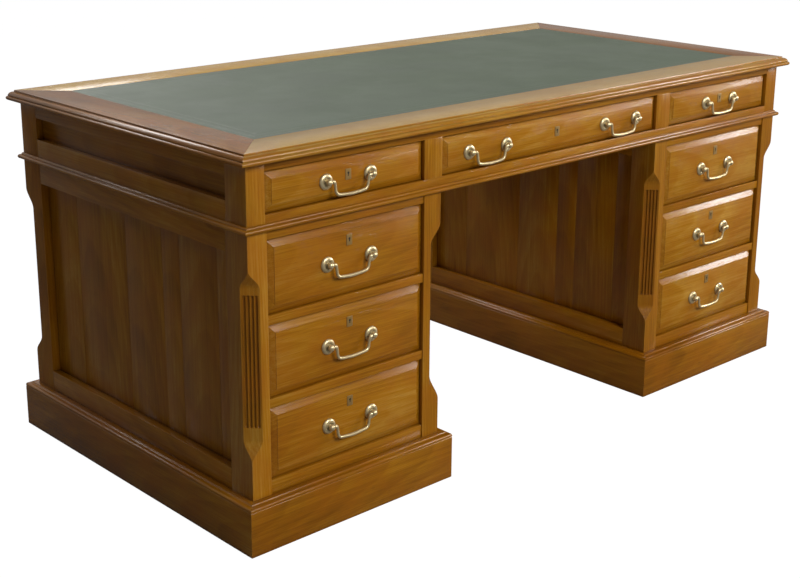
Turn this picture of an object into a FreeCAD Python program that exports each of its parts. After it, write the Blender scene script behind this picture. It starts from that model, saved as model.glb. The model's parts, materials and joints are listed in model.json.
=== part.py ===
"""Partners desk: a leather-lined top and frieze section on two pedestals with a kneehole between them.

X runs along the desk, the drawer side faces -Y, Z is up, and the origin is on the floor under the
middle of the desk. Left means the -X pedestal. Sizes are in millimetres.
"""
import FreeCAD, Part
import math
import os
import re

import Sketcher
from FreeCAD import Placement, Rotation, Vector

sizes = {
    # whole desk
    "top_length": 1676, "top_depth": 838, "desk_height": 762,
    "carcass_length": 1632, "carcass_depth": 794, "pedestal_width": 474,
    "frieze_base": 614, "partition_front": 80, "partition_thickness": 12,
    # writing top
    "edge_thickness": 22, "border_width": 100, "leather_thickness": 1.2,
    "arris_setback": 13.5, "arris_step": 3.2, "step_ledge": 1.8, "ovolo_fall": 11.9, "ovolo_nose": 3.4,
    "ovolo_bulge": 2.2, "edge_quirk": 4.6, "edge_bead": 9.3, "bead_lift": 0.5,
    # frieze section
    "frieze_top_rail": 17, "frieze_bottom_rail": 29, "frieze_post_width": 41, "frieze_post_depth": 62,
    "divider_width": 48, "middle_opening": 678, "frame_thickness": 22, "dust_board": 6,
    "end_panel_top": 711, "end_panel_foot": 665, "end_panel_recess": 14,
    "waist_height": 14, "waist_projection": 10, "waist_bead": 9.4, "waist_fillet": 6.2, "waist_bulge": 1.2,
    # pedestals
    "post_width": 44, "post_depth": 66, "side_thickness": 30, "side_rail": 44,
    "panel_recess": 18, "panel_thickness": 9, "panel_tongue": 8, "seam_width": 1.6,
    "plinth_height": 101, "plinth_overhang": 22, "plinth_thickness": 34, "block_size": 45,
    "plinth_shoulder": 7.5, "shoulder_reach": 4.5, "shoulder_bulge": 1.3, "plinth_step": 3,
    "ledge_reach": 8, "lip_reach": 11,
    "block_lift": 6, "drawer_opening": 144, "drawer_rail": 18, "top_rail": 17.5, "rail_setback": 2,
    "runner_width": 36, "guide_height": 14, "shelf_height": 350, "shelf_thickness": 12,
    # canted and fluted corners
    "cant_leg": 25.5, "cant_foot": 175, "cant_head": 550, "stop_length": 42,
    "flute_foot": 240, "flute_head": 497, "flute_radius": 3.0, "flute_pitch": 7.4, "flute_count": 4,
    # drawers and doors
    "reveal": 1.25, "front_setback": 1, "front_thickness": 22, "bevel_width": 15, "bevel_fall": 6.5,
    "field_step": 1.0, "drawer_depth": 450, "back_drawer_depth": 275, "drawer_side": 10,
    "drawer_base": 6, "base_lift": 6, "side_drop": 14, "running_gap": 0.5,
    "door_thickness": 20, "door_stile": 52, "door_bevel": 28, "door_panel_setback": 2,
    # brass
    "post_spacing": 108, "post_reach": 11, "handle_drop": 2, "wide_handle_offset": 210,
    "rose_radius": 13.5, "rose_rim": 1.4, "rose_height": 4.4, "head_radius": 5.2, "bore_radius": 2.0,
    "pintle_radius": 1.7, "pintle_length": 6, "bail_radius": 2.5, "bail_fall": 28.4,
    "plate_width": 14, "plate_height": 21, "plate_thickness": 0.8, "plate_drop": 36, "door_plate_drop": 45,
    "key_eye_radius": 2.2, "key_eye_rise": 2.5, "key_slot_width": 1.8, "key_slot_fall": 5,
    "lock_width": 38, "lock_height": 30, "lock_thickness": 8, "knuckle_radius": 3, "hinge_length": 60,
    "leaf_thickness": 0.5, "lower_hinge": 190, "upper_hinge": 535, "knob_radius": 13, "knob_reach": 20,
    "joint_play": 0.3,
}

doc = FreeCAD.newDocument("PartnersDesk")
sheet = doc.addObject("Spreadsheet::Sheet", "Sizes")
for row, (alias, value) in enumerate(sizes.items(), start=1):
    sheet.set(f"A{row}", alias)
    sheet.set(f"B{row}", str(value))
    sheet.setAlias(f"B{row}", alias)
doc.recompute()

sub_parts = []


def size(alias):
    return float(sheet.get(alias))


def formula(words):
    """An expression on the sheet, from words such as 'carcass_length / 2'."""
    return re.sub(r"[a-z][a-z_]+", lambda found: "Sizes." + found.group(0), words)


def board(label, x, y, z):
    """A plain board that fills three spans, each a pair of formulas."""
    box = doc.addObject("Part::Box", label)
    for side, axis, (start, end) in zip(("Length", "Width", "Height"), "xyz", (x, y, z)):
        box.setExpression(side, formula(f"({end}) - ({start})"))
        box.setExpression("Placement.Base." + axis, formula(start))
    return box


def on_side(sign, span):
    """The span itself, or its mirror image across the middle of the desk."""
    return span if sign > 0 else (f"-({span[1]})", f"-({span[0]})")


def cut(label, base, tool):
    """base with tool taken away."""
    result = doc.addObject("Part::Cut", label)
    result.Base = base
    result.Tool = tool
    return result


def made(label, shape, placement=None):
    """A piece whose shape comes from Part's own functions."""
    piece = doc.addObject("Part::Feature", label)
    piece.Shape = shape
    if placement:
        piece.Placement = placement
    return piece


def sub_part(label, members, placement=None):
    """One named sub-part: its members stay separate solids."""
    group = doc.addObject("Part::Compound", label)
    group.Links = members
    group.Label = label
    if placement:
        group.Placement = placement
    sub_parts.append(group)
    return group


def sketch_rectangle(body, label, width, height, lift):
    """A rectangle about the body's Y axis, lifted towards -Y from its XZ plane by the formula lift."""
    sketch = body.newObject("Sketcher::SketchObject", label)
    plane = next(item for item in body.Origin.OriginFeatures if item.Role == "XZ_Plane")
    sketch.AttachmentSupport = [(plane, "")]
    sketch.MapMode = "FlatFace"
    sketch.setExpression("AttachmentOffset.Base.z", formula(lift))
    corners = [Vector(-1, -1, 0), Vector(1, -1, 0), Vector(1, 1, 0), Vector(-1, 1, 0)]
    for start, end in zip(corners, corners[1:] + corners[:1]):
        sketch.addGeometry(Part.LineSegment(start, end), False)
    for line in range(4):
        sketch.addConstraint(Sketcher.Constraint("Coincident", line, 2, (line + 1) % 4, 1))
    for line, direction in enumerate(("Horizontal", "Vertical", "Horizontal", "Vertical")):
        sketch.addConstraint(Sketcher.Constraint(direction, line))
    sketch.addConstraint(Sketcher.Constraint("Symmetric", 0, 1, 2, 1, -1, 1))
    across = sketch.addConstraint(Sketcher.Constraint("DistanceX", 0, 1, 0, 2, 2.0))
    upward = sketch.addConstraint(Sketcher.Constraint("DistanceY", 1, 1, 1, 2, 2.0))
    sketch.setExpression(f"Constraints[{across}]", formula(width))
    sketch.setExpression(f"Constraints[{upward}]", formula(height))
    return sketch


def fielded_board(label, width, height, thickness, bevel):
    """A raised and fielded board: back slab, bevel all round, small step, flat field.

    Its back lies on the XZ plane and its field faces -Y at the full thickness.
    """
    body = doc.addObject("PartDesign::Body", label)
    slab = body.newObject("PartDesign::Pad", label + "_slab")
    slab.Profile = sketch_rectangle(body, label + "_outline", width, height, "0")
    slab.setExpression("Length", formula(f"{thickness} - bevel_fall - field_step"))
    slope = body.newObject("PartDesign::AdditiveWedge", label + "_bevel")
    spans = {
        "Xmin": f"-{width} / 2 + {bevel}", "Xmax": f"{width} / 2 - {bevel}",
        "Zmin": f"-{height} / 2 + {bevel}", "Zmax": f"{height} / 2 - {bevel}",
        "X2min": f"-{width} / 2", "X2max": f"{width} / 2",
        "Z2min": f"-{height} / 2", "Z2max": f"{height} / 2",
        "Ymin": f"field_step - {thickness}", "Ymax": f"bevel_fall + field_step - {thickness}",
    }
    for side, words in spans.items():
        slope.setExpression(side, formula(words))
    raised = body.newObject("PartDesign::Pad", label + "_field")
    raised.Profile = sketch_rectangle(body, label + "_plateau", f"{width} - 2 * {bevel}",
                                      f"{height} - 2 * {bevel}", f"{thickness} - field_step")
    raised.setExpression("Length", formula("field_step"))
    return body


# ---------------------------------------------------------------- mitred and moulded frames


def profile_face(steps, outer, turn):
    """A closed moulding section. Steps are (inset, height) corners, or three of them for an arc."""
    def point(corner):
        return turn(outer - corner[0], corner[1])
    edges = []
    here = steps[0]
    for step in steps[1:] + steps[:1]:
        if isinstance(step[0], tuple):
            middle, end = step
            edges.append(Part.Arc(point(here), point(middle), point(end)).toShape())
            here = end
        else:
            edges.append(Part.LineSegment(point(here), point(step)).toShape())
            here = step
    return Part.Face(Part.Wire(edges))


def bulged(start, end, rise):
    """Point half way from start to end, moved out to the right of that way by rise."""
    run, climb = end[0] - start[0], end[1] - start[1]
    share = rise / math.hypot(run, climb)
    return ((start[0] + end[0]) / 2 + climb * share, (start[1] + end[1]) / 2 - run * share)


def mitred_frame(label, half_length, half_depth, band, steps, centre=0.0):
    """Four moulded lengths mitred round a rectangle, each a solid of its own."""
    lengths = []
    reach = 2 * max(half_length, half_depth)
    outer = [Vector(-half_length, -half_depth, -1), Vector(half_length, -half_depth, -1),
             Vector(half_length, half_depth, -1), Vector(-half_length, half_depth, -1)]
    inner = [Vector(v.x - math.copysign(band, v.x), v.y - math.copysign(band, v.y), -1) for v in outer]
    height = 1 + max(step[-1] if not isinstance(step[0], tuple) else step[-1][-1] for step in steps)
    turns = (
        (half_depth, lambda out, up: Vector(-reach / 2, -out, up), Vector(reach, 0, 0)),
        (half_length, lambda out, up: Vector(out, -reach / 2, up), Vector(0, reach, 0)),
        (half_depth, lambda out, up: Vector(-reach / 2, out, up), Vector(reach, 0, 0)),
        (half_length, lambda out, up: Vector(-out, -reach / 2, up), Vector(0, reach, 0)),
    )
    for side, (outward, turn, run) in enumerate(turns):
        after = (side + 1) % 4
        plan = Part.makePolygon([outer[side], outer[after], inner[after], inner[side], outer[side]])
        mitre = Part.Face(plan).extrude(Vector(0, 0, height + 1))
        length = profile_face(steps, outward, turn).extrude(run).common(mitre)
        length.translate(Vector(centre, 0, 0))
        lengths.append(made(f"{label}_{side + 1}", length))
    return lengths


# ---------------------------------------------------------------- turned and bent brass


def ring(centre, across, up, radius, sides):
    """Corners of a regular polygon on the plane of the unit vectors across and up."""
    turns = [2 * math.pi * (corner + 0.5) / sides for corner in range(sides)]
    return [centre + across * (radius * math.cos(t)) + up * (radius * math.sin(t)) for t in turns]


def patch(*corners):
    """A flat face between corners."""
    return Part.Face(Part.makePolygon(list(corners) + [corners[0]]))


def skinned(rings, bent=False):
    """A solid with flat facets over rings of corners; a bent one halves its facets into triangles."""
    faces = [patch(*rings[0]), patch(*rings[-1])]
    for near, far in zip(rings, rings[1:]):
        for corner in range(len(near)):
            after = (corner + 1) % len(near)
            a, b, c, d = near[corner], near[after], far[after], far[corner]
            faces += [patch(a, b, c), patch(a, c, d)] if bent else [patch(a, b, c, d)]
    solid = Part.makeSolid(Part.makeShell(faces))
    if solid.Volume < 0:
        solid.reverse()
    return solid


def turned(rings, sides, foot):
    """A turned piece standing out towards -Y from foot: rings are (distance, radius)."""
    return skinned([ring(foot - Vector(0, out, 0), Vector(1, 0, 0), Vector(0, 0, 1), radius, sides)
                    for out, radius in rings])


def prism(corners, run):
    """Corners carried along run."""
    return patch(*corners).extrude(run)


def handle_seat(offset, height):
    """Domed roses and short posts of one handle, in the drawer's own frame."""
    reach, rose, head = size("post_reach"), size("rose_radius"), size("head_radius")
    rim, dome = size("rose_rim"), size("rose_height")
    rose_rings = [(0, rose), (rim, rose), (dome, rose / 2)]
    # stem, underside, widest part and tip of the head, as shares of its radius
    post_rings = [(dome, 0.6 * head), (reach - 0.7 * head, 0.9 * head),
                  (reach + 0.5 * head, 0.95 * head), (reach + head, 0.4 * head)]
    pieces = []
    for inward in (1, -1):
        foot = Vector(offset - inward * size("post_spacing") / 2, size("front_setback"), height)
        bore = ring(foot - Vector(0, reach, 0), Vector(0, 1, 0), Vector(0, 0, 1), size("bore_radius"), 6)
        pieces.append(turned(rose_rings, 8, foot))
        pieces.append(turned(post_rings, 6, foot).cut(prism(bore, Vector(inward * 2 * head, 0, 0))))
    return pieces


def key_plate(height):
    """Upright brass plate with a keyhole through it, about the given height."""
    wide, tall, thin = size("plate_width"), size("plate_height"), size("plate_thickness")
    eye, slot, fall = size("key_eye_radius"), size("key_slot_width"), size("key_slot_fall")
    back = size("front_setback")
    centre = height + size("key_eye_rise")
    plate = Part.makeBox(wide, thin, tall, Vector(-wide / 2, back - thin, height - tall / 2))
    round_eye = prism(ring(Vector(0, back - thin, centre), Vector(1, 0, 0), Vector(0, 0, 1), eye, 6),
                      Vector(0, thin, 0))
    straight = Part.makeBox(slot, thin, centre - height + fall,
                            Vector(-slot / 2, back - thin, height - fall))
    return plate.cut(round_eye.fuse(straight))


def lock_case(height):
    """Plain case of a drawer lock, let on behind the front at the height of its key plate."""
    wide, deep, tall = size("lock_width"), size("lock_thickness"), size("lock_height")
    behind = size("front_setback") + size("front_thickness")
    return Part.makeBox(wide, deep, tall, Vector(-wide / 2, behind, height - tall / 2))


# Half of a bail after its pintle: shoulder, upright neck, corner and bowed grip, as distances inwards
# from the post and falls below the hinge.
bail_curve = ((8.0, 0.0), (11.5, 1.0), (13.4, 4.6), (14.2, 12.0), (15.8, 20.6), (21.5, 25.8), (34.0, 27.6))


def bail_shape():
    """Swan-neck bail hanging from its pintles, which lie on the X axis."""
    half = size("post_spacing") / 2
    pin, bar = size("pintle_radius"), size("bail_radius")
    left = [Vector(inward - half, 0, -fall) for inward, fall in bail_curve]
    right = [Vector(-point.x, 0, point.z) for point in reversed(left)]
    curve = Part.BSplineCurve()
    curve.interpolate(left + [Vector(0, 0, -size("bail_fall"))] + right)
    across = Vector(0, 1, 0)
    stations = 11
    rings = []
    for station in range(stations):
        share = station / (stations - 1)
        spot = curve.FirstParameter + share * (curve.LastParameter - curve.FirstParameter)
        along = curve.tangent(spot)[0]
        swell = 0.85 + 0.2 * math.sin(math.pi * share)
        rings.append(ring(curve.value(spot), across, along.cross(across), bar * swell, 6))
    up = Vector(1, 0, 0).cross(across)
    tip = half - size("joint_play")
    root = tip - size("pintle_length")
    head = [ring(Vector(-x, 0, 0), across, up, pin, 6) for x in (tip, root)]
    tail = [ring(Vector(x, 0, 0), across, up, pin, 6) for x in (root, tip)]
    return skinned(head + rings + tail, bent=True)


# ---------------------------------------------------------------- writing top

half_length = size("top_length") / 2
half_depth = size("top_depth") / 2
crown = size("desk_height")
underside = crown - size("edge_thickness")

inside_x = ("-top_length / 2 + border_width", "top_length / 2 - border_width")
inside_y = ("-top_depth / 2 + border_width", "top_depth / 2 - border_width")
sub_part("leather_inset", [board("skiver", inside_x, inside_y,
                                 ("desk_height - leather_thickness", "desk_height"))])
sub_part("top_board", [board("ground_board", inside_x, inside_y,
                             ("desk_height - edge_thickness", "desk_height - leather_thickness"))])

# Edge moulding from the top: arris, step, ovolo, quirk and a bead at the foot.
arris, quirk, bead = size("arris_setback"), size("edge_quirk"), size("edge_bead")
step = crown - size("arris_step")
bead_foot = underside + size("bead_lift")
ovolo_head = (arris - size("step_ledge"), step)
ovolo_foot = (size("ovolo_nose"), crown - size("ovolo_fall"))
edge_steps = [
    (size("border_width"), underside), (size("border_width"), crown), (arris, crown), (arris, step),
    ovolo_head, (bulged(ovolo_head, ovolo_foot, size("ovolo_bulge")), ovolo_foot),
    (quirk, ovolo_foot[1]), (quirk, bead_foot + bead),
    ((0.0, bead_foot + bead / 2), (quirk, bead_foot)), (quirk + 1, underside),
]
sub_part("top_border", mitred_frame("border", half_length, half_depth, size("border_width"), edge_steps))

# ---------------------------------------------------------------- frieze section

frieze_head = "desk_height - edge_thickness"
opening_foot = "frieze_base + frieze_bottom_rail"
opening_head = f"{frieze_head} - frieze_top_rail"
rail_reach = "carcass_length / 2 - frieze_post_width"
divider_x = ("middle_opening / 2", "middle_opening / 2 + divider_width")
inner_reach = "carcass_length / 2 - side_thickness"

rails = []
stiles = []
for side, sign in (("front", -1), ("back", 1)):
    frame_y = on_side(sign, ("carcass_depth / 2 - frame_thickness", "carcass_depth / 2"))
    rails.append(board(f"frieze_{side}_top_rail", (f"-({rail_reach})", rail_reach), frame_y,
                       (opening_head, frieze_head)))
    rails.append(board(f"frieze_{side}_bottom_rail", (f"-({rail_reach})", rail_reach), frame_y,
                       ("frieze_base", opening_foot)))
    post_y = on_side(sign, ("carcass_depth / 2 - frieze_post_depth", "carcass_depth / 2"))
    for hand, mirror in (("left", -1), ("right", 1)):
        stiles.append(board(f"frieze_{side}_{hand}_divider", on_side(mirror, divider_x), frame_y,
                            (opening_foot, opening_head)))
        stiles.append(board(f"frieze_{side}_{hand}_post", on_side(mirror, (rail_reach, "carcass_length / 2")),
                            post_y, ("frieze_base", frieze_head)))
sub_part("frieze_rails", rails)
sub_part("frieze_stiles", stiles)

end_y = ("-carcass_depth / 2 + frieze_post_depth", "carcass_depth / 2 - frieze_post_depth")
ends = []
for hand, mirror in (("left", -1), ("right", 1)):
    rail_x = on_side(mirror, (inner_reach, "carcass_length / 2"))
    panel_x = on_side(mirror, ("carcass_length / 2 - end_panel_recess - panel_thickness",
                               "carcass_length / 2 - end_panel_recess"))
    ends.append(board(f"frieze_{hand}_end_top", rail_x, end_y, ("end_panel_top", frieze_head)))
    ends.append(board(f"frieze_{hand}_end_foot", rail_x, end_y, ("frieze_base", "end_panel_foot")))
    ends.append(board(f"frieze_{hand}_end_panel", panel_x, end_y, ("end_panel_foot", "end_panel_top")))
sub_part("frieze_ends", ends)

front_run = ("-carcass_depth / 2 + frame_thickness", "partition_front")
back_run = ("partition_front + partition_thickness", "carcass_depth / 2 - frame_thickness")
end_reach = "carcass_depth / 2 - frieze_post_depth"
bearers = [
    board("dust_board", (f"-({inner_reach})", inner_reach), (f"-({end_reach})", end_reach),
          ("frieze_base", "frieze_base + dust_board")),
    board("frieze_partition", (f"-({inner_reach})", inner_reach),
          ("partition_front", "partition_front + partition_thickness"),
          ("frieze_base + dust_board", frieze_head)),
]
runner_z = ("frieze_base + dust_board", opening_foot)
guide_z = (opening_foot, f"{opening_foot} + guide_height")
for side, run in (("front", ("-carcass_depth / 2 + frieze_post_depth", front_run[1])),
                  ("back", (back_run[0], "carcass_depth / 2 - frieze_post_depth"))):
    for hand, mirror in (("left", -1), ("right", 1)):
        wide = on_side(mirror, (f"{divider_x[0]} - drawer_side - 4", f"{divider_x[1]} + drawer_side + 4"))
        narrow = on_side(mirror, (f"{rail_reach} - drawer_side - 10", inner_reach))
        bearers.append(board(f"{side}_{hand}_middle_runner", wide, run, runner_z))
        bearers.append(board(f"{side}_{hand}_end_runner", narrow, run, runner_z))
        bearers.append(board(f"{side}_{hand}_middle_guide",
                             on_side(mirror, (f"{divider_x[0]}", f"{divider_x[1]}")), run, guide_z))
        bearers.append(board(f"{side}_{hand}_end_guide",
                             on_side(mirror, (rail_reach, inner_reach)), run, guide_z))
sub_part("frieze_runners", bearers)

# Waist moulding: a bead below, a fillet and a small quarter round above, round the foot of the frieze.
waist, foot = size("waist_projection"), size("frieze_base")
radius, bead_head = size("waist_bead") / 2, foot + size("waist_bead")
round_foot, round_head = (size("waist_fillet"), bead_head), (waist, foot + size("waist_height"))
waist_steps = [
    (waist, foot), (radius, foot), ((0.0, foot + radius), (radius, bead_head)), round_foot,
    (bulged(round_head, round_foot, size("waist_bulge")), round_head),
]
sub_part("waist_moulding", mitred_frame("waist", size("carcass_length") / 2 + waist,
                                        size("carcass_depth") / 2 + waist, waist, waist_steps))

# ---------------------------------------------------------------- pedestals


def ogee(low, high):
    """Two tangent arcs that leave low and reach high upright, as (depth, height) points."""
    half_rise = (high[1] - low[1]) / 2
    half_run = (high[0] - low[0]) / 2
    radius = (half_run ** 2 + half_rise ** 2) / (2 * abs(half_run))
    lean = math.asin(abs(half_rise) / radius) / 2
    bulge = math.copysign(radius * (1 - math.cos(lean)), half_run)
    middle = (low[0] + half_run, low[1] + half_rise)
    climb = math.copysign(radius * math.sin(lean), half_rise)
    return [((low[0] + bulge, low[1] + climb), middle),
            ((high[0] - bulge, high[1] - climb), high)]


def corner_cutter():
    """Tool that cants a corner at the origin, with lamb's-tongue stops and four stopped flutes.

    The post lies in the +X +Y quarter, and the tool is the same on both sides of its diagonal.
    """
    depth = size("cant_leg") / math.sqrt(2)
    low, high, stop = size("cant_foot"), size("cant_head"), size("stop_length")
    clear = -5.0
    steps = [(clear, low), (0.0, low)] + ogee((0.0, low), (depth, low + stop))
    steps += [(depth, high - stop)] + ogee((depth, high - stop), (0.0, high)) + [(clear, high)]
    inward = Vector(1, 1, 0).normalize()
    along = Vector(1, -1, 0).normalize()
    half_width = 2 * size("cant_leg")
    face = profile_face(steps, 0.0, lambda out, up: inward * -out - along * half_width + Vector(0, 0, up))
    cutter = face.extrude(along * 2 * half_width)
    radius = size("flute_radius")
    foot, head = size("flute_foot"), size("flute_head")
    count = int(size("flute_count"))
    for flute in range(count):
        shift = (flute - (count - 1) / 2) * size("flute_pitch")
        spot = inward * depth + along * shift
        scoop = [(foot, 0.35), (foot + radius, 1.0), (head - radius, 1.0), (head, 0.35)]
        cutter = cutter.fuse(skinned([ring(spot + Vector(0, 0, z), inward, along, radius * share, 8)
                                      for z, share in scoop]))
    return cutter


cutter_shape = corner_cutter()
pedestal_x = ("carcass_length / 2 - pedestal_width", "carcass_length / 2")
inner_x = (f"{pedestal_x[0]} + side_thickness", f"{pedestal_x[1]} - side_thickness")
opening_x = (f"{pedestal_x[0]} + post_width", f"{pedestal_x[1]} - post_width")
between_posts = ("-carcass_depth / 2 + post_depth", "carcass_depth / 2 - post_depth")
panel_z = ("plinth_height + side_rail", "frieze_base - side_rail")
tongue_y = (f"{between_posts[0]} - panel_tongue", f"{between_posts[1]} + panel_tongue")
tongue_z = (f"{panel_z[0]} - panel_tongue", f"{panel_z[1]} + panel_tongue")
bottom_rail = "frieze_base - plinth_height - top_rail - 3 * drawer_opening - 2 * drawer_rail"


def panel_span(edge):
    """Thickness span of the side panel behind the pedestal's outer (1) or kneehole (0) face."""
    if edge:
        return (f"{pedestal_x[1]} - panel_recess - panel_thickness", f"{pedestal_x[1]} - panel_recess")
    return (f"{pedestal_x[0]} + panel_recess", f"{pedestal_x[0]} + panel_recess + panel_thickness")


def corner_posts(hand, mirror):
    """Four grooved, canted and fluted posts of one pedestal."""
    posts = []
    half_deep = size("carcass_depth") / 2
    edges = (size("carcass_length") / 2 - size("pedestal_width"), size("carcass_length") / 2)
    for place, deep in (("front", -1), ("back", 1)):
        post_y = on_side(deep, ("carcass_depth / 2 - post_depth", "carcass_depth / 2"))
        for edge, name in enumerate(("kneehole", "outer")):
            label = f"{hand}_{place}_{name}_post"
            post_x = (opening_x[1], pedestal_x[1]) if edge else (pedestal_x[0], opening_x[0])
            blank = board(label + "_blank", on_side(mirror, post_x), post_y, ("plinth_height", "frieze_base"))
            slot = board(label + "_groove", on_side(mirror, panel_span(edge)),
                         on_side(deep, ("carcass_depth / 2 - post_depth - 1",
                                        "carcass_depth / 2 - post_depth + panel_tongue")), tongue_z)
            corner = Vector(mirror * edges[edge], deep * half_deep, 0)
            outward_x = mirror * (1 if edge else -1)
            quarter = {(-1, -1): 0, (1, -1): 90, (1, 1): 180, (-1, 1): 270}[(outward_x, deep)]
            tool = made(label + "_cutter", cutter_shape.copy(),
                        Placement(corner, Rotation(Vector(0, 0, 1), quarter)))
            posts.append(cut(label, cut(label + "_grooved", blank, slot), tool))
    return posts


def side_rails(hand, mirror):
    """Top and bottom rails of both side frames of one pedestal, grooved for the panels."""
    pieces = []
    for edge, name in enumerate(("kneehole", "outer")):
        rail_x = (inner_x[1], pedestal_x[1]) if edge else (pedestal_x[0], inner_x[0])
        spans = (("foot", ("plinth_height", panel_z[0])), ("head", (panel_z[1], "frieze_base")))
        for level, rail_z in spans:
            label = f"{hand}_{name}_{level}_rail"
            rail = board(label + "_blank", on_side(mirror, rail_x), between_posts, rail_z)
            slot = board(label + "_groove", on_side(mirror, panel_span(edge)), between_posts, tongue_z)
            pieces.append(cut(label, rail, slot))
    return pieces


# Seams of the glued-up boards, as shares of the panel's height across the desk.
board_seams = (-0.42, -0.235, -0.145, 0.05, 0.33)


def side_panels(hand, mirror):
    """Panels of vertical boards; a fine V runs down each seam of the face that shows."""
    pieces = []
    for edge, name in enumerate(("kneehole", "outer")):
        label = f"{hand}_{name}_panel"
        blank = board(label + "_blank", on_side(mirror, panel_span(edge)), tongue_y, tongue_z)
        recess = size("panel_recess")
        outer_face = size("carcass_length") / 2 - (0 if edge else size("pedestal_width"))
        show = mirror * (outer_face - recess if edge else outer_face + recess)
        into = -mirror if edge else mirror
        wide = size("seam_width") / 2
        clear = size("carcass_depth") - 2 * size("post_depth")
        veins = []
        for share in board_seams:
            middle = share * clear
            corners = [Vector(show, middle - wide, 0), Vector(show + into * wide, middle, 0),
                       Vector(show, middle + wide, 0)]
            veins.append(prism(corners, Vector(0, 0, size("desk_height"))))
        pieces.append(cut(label, blank, made(label + "_seams", Part.makeCompound(veins))))
    return pieces


def drawer_rails(hand, mirror):
    """Rails across the front of one pedestal, with the runners and guides behind them."""
    front = "-carcass_depth / 2 + rail_setback"
    front_y = (front, "-carcass_depth / 2 + post_depth")
    run_y = ("-carcass_depth / 2 + post_depth", "partition_front")
    head_z = ("frieze_base - top_rail", "frieze_base")
    foot_z = ("plinth_height", f"plinth_height + {bottom_rail}")
    pieces = [board(f"{hand}_rail_head", on_side(mirror, opening_x), front_y, head_z),
              board(f"{hand}_rail_foot", on_side(mirror, opening_x), front_y, foot_z)]
    for level in range(3):
        seat = f"plinth_height + {bottom_rail} + {level} * (drawer_opening + drawer_rail)"
        rail_z = (f"{seat} - drawer_rail", seat)
        if level:
            pieces.append(board(f"{hand}_rail_{level}", on_side(mirror, opening_x), front_y, rail_z))
        near, far = inner_x
        for name, start, end, z in (
            ("kneehole_runner", near, f"{near} + runner_width", rail_z),
            ("outer_runner", f"{far} - runner_width", far, rail_z),
            ("kneehole_guide", near, opening_x[0], (seat, f"{seat} + guide_height")),
            ("outer_guide", opening_x[1], far, (seat, f"{seat} + guide_height")),
        ):
            pieces.append(board(f"{hand}_{name}_{level}", on_side(mirror, (start, end)), run_y, z))
    return pieces


def carcass_boards(hand, mirror):
    """Bottom board notched round the back posts, partition, cupboard shelf, and the rails round the door."""
    x = on_side(mirror, inner_x)
    base_z = ("plinth_height", f"plinth_height + {bottom_rail} - drawer_rail")
    partition_y = ("partition_front", "partition_front + partition_thickness")
    back_y = ("carcass_depth / 2 - frame_thickness", "carcass_depth / 2")
    notch_y = (between_posts[1], back_y[0])
    blank = board(f"{hand}_bottom_blank", x, (between_posts[0], back_y[0]), base_z)
    notches = doc.addObject("Part::Compound", f"{hand}_bottom_notches")
    notches.Links = [
        board(f"{hand}_kneehole_notch", on_side(mirror, (inner_x[0], opening_x[0])), notch_y, base_z),
        board(f"{hand}_outer_notch", on_side(mirror, (opening_x[1], inner_x[1])), notch_y, base_z),
    ]
    return [
        cut(f"{hand}_bottom_board", blank, notches),
        board(f"{hand}_partition", x, partition_y, (base_z[1], "frieze_base")),
        board(f"{hand}_shelf", x, (partition_y[1], between_posts[1]),
              ("shelf_height", "shelf_height + shelf_thickness")),
        board(f"{hand}_back_head_rail", on_side(mirror, opening_x), back_y,
              ("frieze_base - top_rail", "frieze_base")),
        board(f"{hand}_back_foot_rail", on_side(mirror, opening_x), back_y,
              ("plinth_height", f"plinth_height + {bottom_rail}")),
    ]


def plinth(hand, mirror):
    """Mitred plinth with a rounded and stepped top edge, and a glue block in each corner."""
    top, thick, out = size("plinth_height"), size("plinth_thickness"), size("plinth_overhang")
    ledge = top - size("plinth_step")
    shoulder = (0.0, top - size("plinth_shoulder"))
    rounded = (size("shoulder_reach"), ledge)
    steps = [(thick, 0.0), (0.0, 0.0), shoulder, (bulged(rounded, shoulder, size("shoulder_bulge")), rounded),
             (size("ledge_reach"), ledge), (size("lip_reach"), top), (thick, top)]
    centre = mirror * (size("carcass_length") - size("pedestal_width")) / 2
    pieces = mitred_frame(f"{hand}_plinth", size("pedestal_width") / 2 + out,
                          size("carcass_depth") / 2 + out, thick, steps, centre)
    inset = "(plinth_thickness - plinth_overhang)"
    block_y = (f"carcass_depth / 2 - {inset} - block_size", f"carcass_depth / 2 - {inset}")
    block_x = {"kneehole": (f"{pedestal_x[0]} + {inset}", f"{pedestal_x[0]} + {inset} + block_size"),
               "outer": (f"{pedestal_x[1]} - {inset} - block_size", f"{pedestal_x[1]} - {inset}")}
    for name, span in block_x.items():
        for place, deep in (("front", -1), ("back", 1)):
            pieces.append(board(f"{hand}_{name}_{place}_block", on_side(mirror, span), on_side(deep, block_y),
                                ("block_lift", "plinth_height")))
    return pieces


hands = (("left", -1), ("right", 1))
sub_part("side_rails", [piece for hand in hands for piece in side_rails(*hand)])
sub_part("side_panels", [piece for hand in hands for piece in side_panels(*hand)])
sub_part("plinths", [piece for hand in hands for piece in plinth(*hand)])
for hand, mirror in hands:
    sub_part(f"{hand}_corner_posts", corner_posts(hand, mirror))
    sub_part(f"{hand}_drawer_rails", drawer_rails(hand, mirror))
    sub_part(f"{hand}_carcass_boards", carcass_boards(hand, mirror))

# ---------------------------------------------------------------- drawers

bail_master = bail_shape()


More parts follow.
